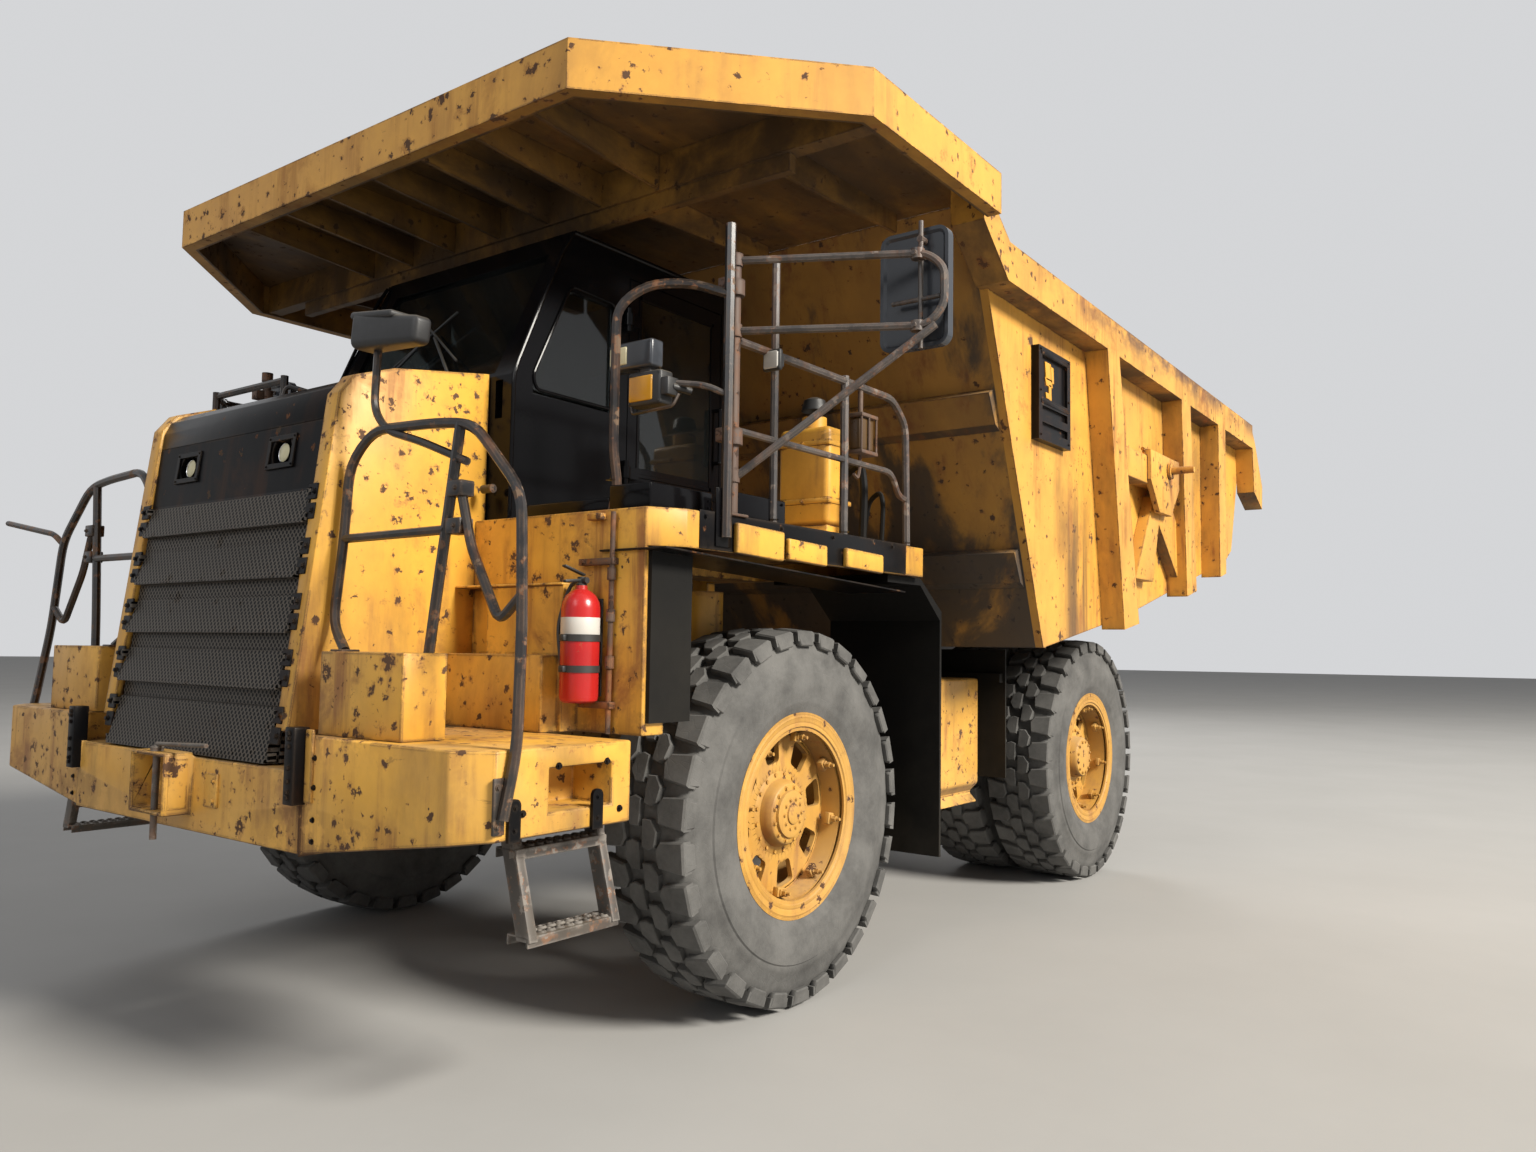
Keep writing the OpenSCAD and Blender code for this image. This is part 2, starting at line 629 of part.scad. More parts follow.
// The two pins that the door's leaves turn on, each between two ears
module door_pins() for (z = hinge_heights) {
    translate([hinge_x, hinge_y, z - 30]) cylinder(r = hinge_r, h = 120, $fn = 48);
    for (e = [z - 30, z + 66])
        block([hinge_x - hinge_r, cab_left - 1, e], [hinge_x + hinge_r, hinge_y, e + 24]);
}
module cab_shell() color(black) placed() {
    cab_walls();
    door_pins();
}
module cab_walls() difference() {
    side_plate(cab_right, cab_left) cab_outline(0);
    side_plate(cab_right + cab_wall, cab_left - cab_wall) cab_outline(cab_wall);
    // Windscreen
    side_plate(cab_right + 130, cab_left - 130) polygon([
        [cab_front + 1, cab_kink_z + 20], [cab_front - 2 * cab_wall, cab_kink_z + 20],
        [screen_x(screen_top_z) - 2 * cab_wall, screen_top_z - 20],
        [screen_x(screen_top_z) + 200, screen_top_z - 20],
    ]);
    // Lower front window, beside the hood
    block([cab_front - 2 * cab_wall, cab_left - 110, cab_kink_z - 200],
        [cab_front + 1, cab_left - 60, cab_kink_z - 20]);
    // Doorway on the left and a large window on the right
    block([door_x0, cab_left - 2 * cab_wall, door_z0], [door_x1, cab_left + 1, door_z1]);
    block([door_x0, cab_right - 1, window_z0], [door_x1, cab_right + 2 * cab_wall, door_z1]);
    // Quarter windows ahead of them, cut through both sides
    side_plate(cab_right - 1, cab_left + 1) polygon([
        [door_x1 + 110, window_z0], [cab_front - 130, window_z0],
        [cab_front - 130, cab_kink_z], [screen_x(3450) - 120, 3450], [door_x1 + 110, 3450],
    ]);
    // Rear window
    block([cab_back - 1, cab_right + 250, window_z0],
        [cab_back + 2 * cab_wall, cab_left - 250, door_z1 - 100]);
}
glass_t = 8;
module cab_glass() color("lightblue") placed() {
    // Panes stand a hair inside the openings, on the walls' inner side
    side_plate(cab_right + 130 + seat, cab_left - 130 - seat) polygon([
        [screen_x(cab_kink_z + 25) - 20, cab_kink_z + 24],
        [screen_x(cab_kink_z + 25) - 20 - glass_t, cab_kink_z + 24],
        [screen_x(screen_top_z - 24) - 20 - glass_t, screen_top_z - 24],
        [screen_x(screen_top_z - 24) - 20, screen_top_z - 24],
    ]);
    block([door_x0 + seat, cab_right + 20, window_z0 + seat],
        [door_x1 - seat, cab_right + 20 + glass_t, door_z1 - seat]);
    for (y = [cab_right + 20, cab_left - 20 - glass_t]) side_plate(y, y + glass_t) polygon([
        [door_x1 + 110.3, window_z0 + seat], [cab_front - 130.3, window_z0 + seat],
        [cab_front - 130.3, cab_kink_z], [screen_x(3450) - 121, 3449.7],
        [door_x1 + 110.3, 3449.7],
    ]);
    block([cab_back + 20, cab_right + 250 + seat, window_z0 + seat],
        [cab_back + 20 + glass_t, cab_left - 250 - seat, door_z1 - 100 - seat]);
}
module cab_interior() color(soft_black) placed() {
    floor_z = deck_top + cab_wall;
    mid_y = (cab_left + cab_right) / 2;
    // Driver's seat
    block([-160, mid_y - 180, floor_z], [160, mid_y + 180, floor_z + 260]);
    block([-250, mid_y - 260, floor_z + 259], [270, mid_y + 260, floor_z + 400]);
    side_plate(mid_y - 250, mid_y + 250) polygon([
        [-250, floor_z + 380], [-120, floor_z + 380], [-190, floor_z + 1060],
        [-310, floor_z + 1060],
    ]);
    // Dashboard, column and steering wheel
    block([870, cab_right + cab_wall, floor_z], [cab_front - cab_wall, cab_left - cab_wall,
        floor_z + 560]);
    bar([900, mid_y, floor_z + 480], [610, mid_y, floor_z + 700], 32);
    translate([610, mid_y, floor_z + 700]) rotate([0, -52.8, 0])
        rotate_extrude($fn = 48) translate([200, 0]) circle(r = 18);
    translate([610, mid_y, floor_z + 700]) rotate([0, -52.8, 0])
        for (a = [0, 120, 240]) rotate([0, 0, a]) translate([0, -14, -8]) cube([200, 28, 16]);
    // Side console
    block([-250, mid_y - 600, floor_z], [500, mid_y - 330, floor_z + 520]);
}
hinge_x = door_x1 + 25;
hinge_y = cab_left + 26;
hinge_r = 14;
door_gap = 6;
module cab_door() color(black) placed() {
    difference() {
        block([door_x0 + door_gap, cab_left - cab_wall, door_z0 + door_gap],
            [door_x1 - door_gap, cab_left, door_z1 - door_gap]);
        block([door_x0 + 90, cab_left - cab_wall - 1, window_z0 - 250],
            [door_x1 - 90, cab_left + 1, door_z1 - 90]);
    }
    block([door_x0 + 90, cab_left - 30, window_z0 - 250],
        [door_x1 - 90, cab_left - 30 + glass_t, door_z1 - 90]);
    // Two hinge leaves that reach round the pins, and the grab handle
    for (z = hinge_heights) difference() {
        union() {
            block([door_x1 - 60, cab_left - 1, z], [door_x1 - 10, cab_left + 36, z + 60]);
            block([door_x1 - 11, cab_left + 6, z], [hinge_x, cab_left + 36, z + 60]);
            translate([hinge_x, hinge_y, z]) cylinder(r = hinge_r + 10, h = 60, $fn = 48);
        }
        translate([hinge_x, hinge_y, z - 1]) cylinder(r = hinge_r + fit, h = 62, $fn = 48);
    }
    bent_tube([[door_x0 + 60, cab_left - 5, 2760], [door_x0 + 60, cab_left + 50, 2760],
        [door_x0 + 60, cab_left + 50, 3060], [door_x0 + 60, cab_left - 5, 3060]], 11);
}
hinge_heights = [door_z0 + 200, door_z1 - 260];

// Posts and rails along the decks
post_x = 880;
mirror_post_x = 775;
third_post_x = 450;
rail_y = deck_y - 45;
mirror_post_y = rail_y + 15;
rail_end_x = -700;
side_rail_x = mirror_post_x - 28 - seat;
edge_post_y = deck_y + post_r + seat;
deck_rail_z = 3080;
mid_rail_z = 2680;
module deck_rails() color(black) placed() {
    // Left side: tall aerial post, third post, hoop over the front and two side rails
    bar([post_x, edge_post_y, deck_low + 60], [post_x, edge_post_y, 3545], post_r);
    bar([third_post_x, rail_y, deck_top], [third_post_x, rail_y, 3540], tube_r);
    bent_tube([[1180, 1600, deck_top], [1180, 1600, 3160], [1120, 1680, 3235],
        [post_x, edge_post_y, 3235]], tube_r);
    bent_tube([[side_rail_x, rail_y, deck_rail_z], [rail_end_x, rail_y, deck_rail_z],
        [rail_end_x - 90, rail_y, deck_rail_z - 90], [rail_end_x - 90, rail_y,
        deck_top]], tube_r);
    bar([side_rail_x, rail_y, mid_rail_z], [rail_end_x - 90, rail_y, mid_rail_z], brace_r);
    bar([-150, rail_y, deck_top], [-150, rail_y, deck_rail_z + post_r], post_r);
    // Right side: one run along the front and the outside
    for (z = [mid_rail_z, deck_rail_z + 120]) {
        bar([1180, -1000, z], [1180, -rail_y + 150, z], tube_r);
        bar([1180, -rail_y + 150, z], [1060, -rail_y, z], tube_r);
        bar([1060, -rail_y, z], [mirror_post_x + 28 + seat, -rail_y, z], tube_r);
        bar([side_rail_x, -rail_y, z], [rail_end_x, -rail_y, z], tube_r);
    }
    for (p = [[1180, -1000], [1180, -rail_y + 150], [1060, -rail_y], [300, -rail_y],
        [rail_end_x, -rail_y]])
        bar([p.x, p.y, deck_top], [p.x, p.y, deck_rail_z + 120 + post_r], post_r);
    // Closed toe boxes on the left deck
    block([800, 1600, deck_top], [1200, 1835, deck_top + 110]);
    block([1160, 1040, deck_top], [1200, 1601, deck_top + 60]);
    block([350, deck_y - 60, deck_top], [740, deck_y - 45, deck_top + 120]);
}

// Grab rails from the bumper up to the decks
grab_post_y = 1520;
module front_handrails() color(black) placed() both() {
    bar([1950, grab_post_y, bumper_top + 1.2], [1910, grab_post_y, 2590], post_r);
    bent_tube([[2010, 1300, 1690 + seat], [2010, 1300, 1740], [1990, 980, 2110],
        [1960, 960, 2560], [1925, 1250, 2600], [1911, grab_post_y, 2560]], tube_r);
    bent_tube([[1911, grab_post_y, 2560], [1930, 1830, 2270], [1945, 1830, 1840],
        [1945, 1740, 1790], [1934, grab_post_y, 1990]], tube_r);
    bar([1985, 977, 2190], [1922, grab_post_y, 2190], brace_r);
    bent_tube([[1925, grab_post_y, 2110], [1550, 1420, 2110],
        [fender_x + seat, 1420, 2110]], brace_r);
}

// Outside mirrors on their arms
mirror_y = 2640;
mirror_x = 350;
module mirrors() color(black) placed() {
    both() {
        bar([mirror_post_x, mirror_post_y, deck_top], [mirror_post_x, mirror_post_y, 3440], 28);
        bent_tube([[mirror_post_x, mirror_post_y, 3425], [mirror_x + 40, mirror_y + 60, 3425],
            [mirror_x + 15, mirror_y + 90, 3330], [mirror_x + 15, mirror_y + 90, 3180],
            [mirror_x + 40, mirror_y + 60, 3110], [mirror_post_x, mirror_post_y, 3110]], 18);
        bar([mirror_post_x, mirror_post_y, 2450], [mirror_x + 40, mirror_y + 50, 3100], 18);
        block([mirror_x - 50, mirror_y - 180, 3040], [mirror_x - 8, mirror_y + 100, 3560]);
        block([mirror_x - 9, mirror_y - 20, 3200], [mirror_x + 60, mirror_y + 60, 3240]);
        block([mirror_x - 9, mirror_y - 20, 3400], [mirror_x + 60, mirror_y + 60, 3440]);
    }
    // Small round-backed mirror on the front left rail
    bent_tube([[1925, 1250, 2600 + tube_r * 1.12 + seat], [1925, 1250, 2650],
        [1945, 1060, 2680], [1945, 1040, 2930]], 16);
    block([1920, 930, 2890], [1990, 1180, 3000]);
}

// Work lamps, the beacon lantern and the right lamp on its arm
module work_lamps() color(black) placed() {
    bent_tube([[post_x + post_r + seat, edge_post_y, 2800], [post_x + 60, edge_post_y, 2800],
        [960, 1800, 2860], [1010, 1680, 2870]], 14);
    block([960, 1540, 2760], [1060, 1700, 2900]);
    block([980, 1500, 2930], [1070, 1680, 3040]);
    block([1000, 1580, 2880], [1040, 1640, 2940]);
    bar([-300, rail_y, deck_rail_z - tube_r - seat], [-300, rail_y, 2900], 16);
    block([-400, rail_y - 60, 2720], [-220, rail_y + 60, 2940]);
    bent_tube([[cab_front - 130, cab_right - seat, 3050], [cab_front - 130, cab_right - 60, 3050],
        [1250, cab_right - 300, 3150], [1250, cab_right - 340, 2890]], 16);
    block([1215, cab_right - 500, 2780], [1335, cab_right - 262, 2900]);
}

bottle_x = fender_x + 95;
bottle_y = 1600;
bottle_r = 80;
module fire_extinguisher() color("firebrick") placed() {
    translate([bottle_x, bottle_y, 1500]) cylinder(r = bottle_r, h = 400, $fn = 48);
    translate([bottle_x, bottle_y, 1899]) cylinder(r1 = bottle_r, r2 = 30, h = 55, $fn = 48);
    translate([bottle_x, bottle_y, 1950]) cylinder(r = 22, h = 60);
    block([bottle_x - 30, bottle_y - 15, 1995], [bottle_x + 80, bottle_y + 15, 2015]);
    for (z = [1600, 1790]) block([fender_x + seat, bottle_y - 60, z],
        [bottle_x, bottle_y + 60, z + 35]);
}

// Bed: its side outline is shared by the plates, the floor, the rails and the ribs
bed_side = bed_w / 2;
wall_low = [-1860, 1755];
wall_top = [-905.3, canopy_top - canopy_t];
belly = [-3320, 1990];
tail_low = [-6100, 2590];
tail_lip = [-6310, 2700];
tail_top = [-6660, 3690];
rail_front_top = [-1035, 3970];
rail_back_top = [-6520, 3900];
floor_up = 230;
floor_front = wall_low.x + 60;
function up(p, h) = [p.x, p.y + h];
function mix(p, q, x) = p.y + (q.y - p.y) * (x - p.x) / (q.x - p.x);
// The front wall's X at a height, and the bottom edge's height at an X
function wall_x(z) = wall_low.x + (z - wall_low.y)
    * (wall_top.x - wall_low.x) / (wall_top.y - wall_low.y);
function belly_z(x) = x > belly.x ? mix(wall_low, belly, x)
    : x > tail_low.x ? mix(belly, tail_low, x) : mix(tail_low, tail_lip, x);
function top_z(x) = mix(rail_front_top, rail_back_top, x);
rail_low_front = up(rail_front_top, -top_rail_h);
module side_outline() polygon([
    wall_low, belly, tail_low, tail_lip, tail_top, [tail_top.x + 60, top_z(tail_top.x)],
    [rail_front_top.x - 60, rail_front_top.y - 1], [wall_x(3970), 3970],
]);
// Side ribs: [x at the top, x at the bottom, width at the top, width at the bottom]
side_ribs = [
    [-2570, -2870, 230, 300], [-4230, -4330, 240, 260], [-5300, -5310, 230, 190],
];
module floor_outline(up0, up1) polygon([
    [floor_front, belly_z(floor_front) + up0], up(belly, up0),
    up(tail_low, up0), up(tail_lip, up0), up(tail_lip, up1), up(tail_low, up1),
    up(belly, up1), [floor_front, belly_z(floor_front) + up1],
]);
module dump_bed() color(yellow) placed() {
    both() side_plate(bed_side - bed_wall, bed_side) side_outline();
    side_plate(-bed_side + 1, bed_side - 1) floor_outline(floor_up, floor_up + floor_t);
    // Front wall with its two raised bands
    side_plate(-bed_side + 1, bed_side - 1) polygon([
        wall_low, wall_top, [wall_top.x - bed_wall, wall_top.y],
        [wall_low.x - bed_wall, wall_low.y],
    ]);
    for (z = [[2110, 2340], [3000, 3230]])
        side_plate(-bed_side + 60, bed_side - 60) polygon([
            [wall_x(z[0]) - 1, z[0]], [wall_x(z[0]) + 60, z[0] + 30],
            [wall_x(z[1]) + 60, z[1] - 30], [wall_x(z[1]) - 1, z[1]],
        ]);
    // Top rails, stepping up to the canopy
    both() {
        side_plate(bed_side - 1, bed_side + rib_out) polygon([
            rail_front_top, rail_low_front, up(rail_back_top, -top_rail_h), rail_back_top,
        ]);
        side_plate(bed_side - bed_wall, bed_side + rib_out) polygon([
            rail_front_top, [-705, canopy_top], [-705, canopy_top - canopy_h],
            rail_low_front + [20, 0], rail_low_front - [40, 0], rail_front_top - [40, 0],
        ]);
    }
    // Ribs on the sides, leaning with the floor
    both() for (r = side_ribs) side_plate(bed_side - 1, bed_side + rib_out) polygon([
        [r[0], top_z(r[0]) - top_rail_h + 1], [r[0] - r[2], top_z(r[0]) - top_rail_h + 1],
        [r[1] - r[3], belly_z(r[1] - r[3]) - 30], [r[1], belly_z(r[1]) - 30],
    ]);
    // Tail wings beyond the sides
    both() side_plate(bed_side - 1, bed_side + rib_out) polygon([
        rail_back_top + [10, -60], rail_back_top + [10, -top_rail_h],
        [-6560, 3270], [-6860, 3140], [-6880, 3360], [-6600, 3760],
    ]);
    // Ears that hang on the pivot pin
    both() difference() {
        side_plate(ear_y0, ear_y1) union() {
            polygon([
                [-pivot_back - 300, belly_z(-pivot_back - 300) + floor_up + 5],
                [-pivot_back - 135, pivot_z], [-pivot_back + 135, pivot_z],
                [-pivot_back + 300, belly_z(-pivot_back + 300) + floor_up + 5],
            ]);
            translate([-pivot_back, pivot_z]) circle(r = 138, $fn = 48);
        }
        along_y(-pivot_back, pivot_z, ear_y0 - 1, ear_y1 + 1, pivot_r + fit);
    }
}
// Beams under the floor: two along the frame, and cross bolsters: [x, length along X]
beam_y0 = 350;
beam_front = -2080;
beam_back = -4800;
beam_low = rear_rail_top + 5;
cross_bolsters = [[-2280, 140], [-3420, 160], [-4300, 160], [-5650, 160]];
bolster_runs = [
    [-bed_side + bed_wall + seat, -rail_out - seat], [-beam_y0 + seat, beam_y0 - seat],
    [rail_out + seat, bed_side - bed_wall - seat],
];
module bed_bolsters() color(yellow) placed() {
    both() side_plate(beam_y0, rail_out) polygon([
        [beam_front, beam_low], [beam_back, beam_low],
        [beam_back, belly_z(beam_back) + floor_up - seat],
        up(belly, floor_up - seat), [beam_front + 150,
            belly_z(beam_front + 150) + floor_up - seat],
    ]);
    for (b = cross_bolsters, run = bolster_runs) side_plate(run[0], run[1]) polygon([
        [b.x, belly_z(b.x) + 40], [b.x - b.y, belly_z(b.x - b.y) + 40],
        [b.x - b.y, belly_z(b.x - b.y) + floor_up - seat],
        [b.x, belly_z(b.x) + floor_up - seat],
    ]);
    // Cheeks that hold each hoist's upper eye between them
    both() for (y = [hoist_y - eye_half - 28, hoist_y + eye_half + 8])
        side_plate(y, y + 20) polygon([
            [hoist_top_x - 130, belly_z(hoist_top_x - 130) + floor_up - seat],
            [hoist_top_x - 60, hoist_top_z - 60], [hoist_top_x + 60, hoist_top_z - 60],
            [hoist_top_x + 130, belly_z(hoist_top_x + 130) + floor_up - seat],
        ]);
}

// Canopy: a top plate, a band round it, a cross beam and ribs under it
band_w = 80;
canopy_front = 1500;
canopy_bend = 585;
canopy_low = canopy_top - canopy_h;
canopy_back = wall_top.x + seat;
canopy_tail = bed_side - bed_wall - seat;
function canopy_plan(w) = let (n = canopy_nose_w / 2 - w * 0.41, s = canopy_w / 2 - w,
    b = canopy_bend - w * 0.41, f = canopy_front - w) [
    [canopy_back, -canopy_tail], [-700, -canopy_tail], [-700, -s], [b, -s], [f, -n],
    [f, n], [b, s], [-700, s], [-700, canopy_tail], [canopy_back, canopy_tail],
];
beam_x = 420;
beam_len = 90;
beam_drop = 75;
module canopy() color(yellow) placed() {
    translate([0, 0, canopy_top - canopy_t]) linear_extrude(height = canopy_t)
        polygon(canopy_plan(0));
    difference() {
        translate([0, 0, canopy_low]) linear_extrude(height = canopy_h - 1)
            polygon(canopy_plan(0));
        translate([0, 0, canopy_low - 1]) linear_extrude(height = canopy_h + 2)
            polygon(canopy_plan(band_w));
        block([canopy_back - 1, -big, 0], [canopy_back + 200, big, canopy_top - canopy_t - 1]);
    }
    block([beam_x, -canopy_w / 2 + 20, canopy_low + 10],
        [beam_x + beam_len, canopy_w / 2 - 20, canopy_top - 1]);
    block([beam_x + 20, -canopy_nose_w / 2 - 400, canopy_low - beam_drop],
        [beam_x + beam_len - 20, canopy_nose_w / 2 + 400, canopy_low + 11]);
    rib_gap = canopy_nose_w / (canopy_rib_n + 1);
    for (i = [1 : canopy_rib_n]) {
        y = -canopy_nose_w / 2 + i * rib_gap;
        side_plate(y - 10, y + 10) polygon([
            [beam_x + beam_len - 1, canopy_low + 20], [canopy_front - band_w + 1,
                canopy_low + 80], [canopy_front - band_w + 1, canopy_top - 1],
            [beam_x + beam_len - 1, canopy_top - 1],
        ]);
    }
    for (i = [-2 : 2]) side_plate(i * 900 - 10, i * 900 + 10) polygon([
        [beam_x + 1, canopy_low + 20], [beam_x + 1, canopy_top - 1],
        [canopy_back + 80, canopy_top - 1], [canopy_back + 80, canopy_low + 90],
    ]);
}
module side_panels() color(black) placed() both() {
    y = bed_side + seat;
    difference() {
        block([-2180, y, 3000], [-1680, y + 50, 3570]);
        block([-2130, y + 30, 3260], [-1730, y + 51, 3520]);
        for (z = [3060, 3160]) block([-2130, y + 30, z], [-1730, y + 51, z + 50]);
    }
}
pin_y = bed_side + rib_out;
hold_x = -3900;
hold_z = 3100;
hold_r = 32;
// How much lower the right bracket is welded on
hold_drop = 6;
module retention_pin(z) {
    block([hold_x - 110, bed_side + seat, z - 100], [hold_x + 110, pin_y - 20, z + 100]);
    along_y(hold_x, z, pin_y - 21, pin_y + 100, hold_r, 48);
    side_plate(bed_side + seat, bed_side + 90) polygon([
        [hold_x - 60, z - 99], [hold_x + 60, z - 99], [hold_x + 40, z - 300],
        [hold_x + 260, z - 800], [hold_x + 170, z - 800], [hold_x, z - 420],
        [hold_x - 170, z - 700], [hold_x - 260, z - 700], [hold_x - 40, z - 300],
    ]);
}
module retention_pins() color(steel) placed() {
    retention_pin(hold_z);
    mirror([0, 1, 0]) retention_pin(hold_z - hold_drop);
}
lamp_bar_x = -pivot_back - 220;
module tail_lamps() color("firebrick") placed() {
    both() block([lamp_bar_x - 60, 150, 1360], [lamp_bar_x - seat, 330, 1460]);
}

// Hoists: barrel, stage and rod on one leaning axis
hoist_low_x = -2800;
hoist_top_x = -2700;
hoist_top_z = 2000;
eye_half = 45;
eye_r = 62;
stage_r = hoist_r - 14;
rod_r = stage_r - 16;
hoist_lean = atan2(hoist_top_x - hoist_low_x, hoist_top_z - hoist_low_z);
hoist_len = norm([hoist_top_x - hoist_low_x, hoist_top_z - hoist_low_z]);
barrel_top = hoist_len - 124;
hoist_pin_r = 35;
module hoist_axis() placed() translate([hoist_low_x, hoist_y, hoist_low_z])
    rotate([0, hoist_lean, 0]) children();
module barrel() color(yellow) hoist_axis() difference() {
    union() {
        translate([0, 0, 90]) cylinder(r = hoist_r, h = barrel_top - 90, $fn = 48);
        translate([0, 0, 20]) cylinder(r = 55, h = 80, $fn = 48);
        along_y(0, 0, -eye_half, eye_half, eye_r + 8);
    }
    along_y(0, 0, -60, 60, hoist_pin_r + fit);
    translate([0, 0, 110]) cylinder(r = stage_r + seat, h = barrel_top, $fn = 48);
}
module stage() color(steel) hoist_axis() difference() {
    translate([0, 0, 112]) cylinder(r = stage_r, h = barrel_top + 20 - 112, $fn = 48);
    translate([0, 0, 130]) cylinder(r = rod_r + seat, h = barrel_top, $fn = 48);
}
module rod() color(steel) hoist_axis() {
    translate([0, 0, 132]) cylinder(r = rod_r, h = hoist_len - 150, $fn = 48);
    translate([0, 0, hoist_len]) along_y(0, 0, -eye_half, eye_half, eye_r);
}
module hoist_left_barrel() barrel();
module hoist_left_stage() stage();
module hoist_left_rod() rod();
module hoist_right_barrel() mirror([0, 1, 0]) barrel();
module hoist_right_stage() mirror([0, 1, 0]) stage();
module hoist_right_rod() mirror([0, 1, 0]) rod();

chassis_frame();
bed_pivot_pin();
front_bumper();
tow_pin();
engine_block();
hood();
hood_top_sheet();
radiator_grille();
headlamps();
deck_left();
deck_right();
boarding_ladders();
mudguards();
cab_shell();
cab_glass();
cab_interior();
cab_door();
deck_rails();
front_handrails();
mirrors();
work_lamps();
fire_extinguisher();
strut_housings();
knuckle_left();
knuckle_right();
front_left_tyre();
front_left_rim();
front_right_tyre();
front_right_rim();
rear_axle();
rear_suspension();
drive_shaft();
rear_left_tyres();
rear_left_rims();
rear_right_tyres();
rear_right_rims();
fuel_tank();
hydraulic_tank();
hoist_left_barrel();
hoist_left_stage();
hoist_left_rod();
hoist_right_barrel();
hoist_right_stage();
hoist_right_rod();
dump_bed();
canopy();
bed_bolsters();
side_panels();
retention_pins();
tail_lamps();
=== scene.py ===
# %% [markdown]
# The truck arrives as a imported CAD model whose nodes never move. Everything below
# either gives those nodes a finish or stands in front of one with more detail.

# %% Load the frame
import json
import math

import bmesh
import bpy
from mathutils import Matrix, Vector


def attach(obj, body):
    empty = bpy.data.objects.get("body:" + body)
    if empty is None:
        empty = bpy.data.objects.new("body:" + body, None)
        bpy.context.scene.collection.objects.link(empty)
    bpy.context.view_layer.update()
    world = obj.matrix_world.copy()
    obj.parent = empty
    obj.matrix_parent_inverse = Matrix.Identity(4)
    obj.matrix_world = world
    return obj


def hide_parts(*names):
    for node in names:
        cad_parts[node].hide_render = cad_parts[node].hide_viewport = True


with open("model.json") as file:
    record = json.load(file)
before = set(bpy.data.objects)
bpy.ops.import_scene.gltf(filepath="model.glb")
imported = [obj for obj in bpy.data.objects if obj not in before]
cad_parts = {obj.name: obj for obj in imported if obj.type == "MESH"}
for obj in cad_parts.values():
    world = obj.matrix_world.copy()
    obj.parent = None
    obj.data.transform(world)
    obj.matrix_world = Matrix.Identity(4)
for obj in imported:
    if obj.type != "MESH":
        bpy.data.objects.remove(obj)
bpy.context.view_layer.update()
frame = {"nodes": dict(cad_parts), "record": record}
nodes = frame["nodes"]
axle_x = 2.3
both_sides = (("left", 1), ("right", -1))

# %% [markdown]
# The camera stands low in front of the left front wheel and looks a little upward, with a
# short lens, so the canopy looms and the far side falls away quickly. Its place was worked
# out from the truck's own right angles and sizes.

# %% Camera
camera_place = Vector((6.8082, 4.8811, 1.723))
yaw, pitch, roll = 0.6364, 0.066, 0.0146
focal_pixels, frame_pixels, sensor = 1105.5, 1536, 36.0

ahead = Vector((-math.cos(yaw) * math.cos(pitch), -math.sin(yaw) * math.cos(pitch),
                math.sin(pitch)))
right = ahead.cross(Vector((0, 0, 1))).normalized()
up = right.cross(ahead)
right, up = (math.cos(roll) * right + math.sin(roll) * up,
             math.cos(roll) * up - math.sin(roll) * right)
lens = bpy.data.cameras.new("camera")
lens.sensor_width = sensor
lens.lens = focal_pixels / frame_pixels * sensor
lens.clip_end = 400
camera = bpy.data.objects.new("camera", lens)
bpy.context.scene.collection.objects.link(camera)
turn = Matrix((right, up, -ahead)).transposed().to_4x4()
camera.matrix_world = Matrix.Translation(camera_place) @ turn
bpy.context.scene.camera = camera
bpy.context.scene.view_settings.view_transform = "Standard"
print("lens", round(lens.lens, 2), "mm")

# %% [markdown]
# Materials are node trees. These small helpers place a node, feed its sockets with values
# or with other nodes' outputs, and hand back the output, so that a finish reads like a
# recipe.

# %% Node helpers
def place(tree, kind, sockets=None, **settings):
    made = tree.nodes.new(kind)
    for key, value in settings.items():
        setattr(made, key, value)
    for key, value in (sockets or {}).items():
        feed(tree, made.inputs[key], value)
    return made


def feed(tree, socket, value):
    if isinstance(value, bpy.types.NodeSocket):
        tree.links.new(value, socket)
    elif socket.type == "RGBA" and len(value) == 3:
        socket.default_value = (*value, 1)
    else:
        socket.default_value = value


def maths(tree, operation, *values, clamp=False):
    made = place(tree, "ShaderNodeMath", operation=operation, use_clamp=clamp)
    for socket, value in zip(made.inputs, values):
        feed(tree, socket, value)
    return made.outputs[0]


def between(tree, value, low, high):
    """0 below low, 1 above high, smooth between."""
    made = place(tree, "ShaderNodeMapRange", interpolation_type="SMOOTHSTEP",
                 sockets={"Value": value, "From Min": low, "From Max": high})
    return made.outputs["Result"]


def noise(tree, where, scale, detail=4.0, rough=0.55, twist=0.0):
    made = place(tree, "ShaderNodeTexNoise", sockets={
        "Vector": where, "Scale": scale, "Detail": detail, "Roughness": rough,
        "Distortion": twist})
    return made.outputs["Fac"]


def blend_colour(tree, share, first, second, mode="MIX"):
    made = place(tree, "ShaderNodeMix", data_type="RGBA", blend_type=mode)
    feed(tree, made.inputs[0], share)
    feed(tree, made.inputs[6], first)
    feed(tree, made.inputs[7], second)
    return made.outputs[2]


def stretched(tree, where, scale):
    made = place(tree, "ShaderNodeMapping", sockets={"Vector": where, "Scale": scale})
    return made.outputs[0]


def along(tree, where):
    """The X, Y and Z of a place, which are sockets "X", "Y" and "Z"."""
    return place(tree, "ShaderNodeSeparateXYZ", sockets={"Vector": where}).outputs


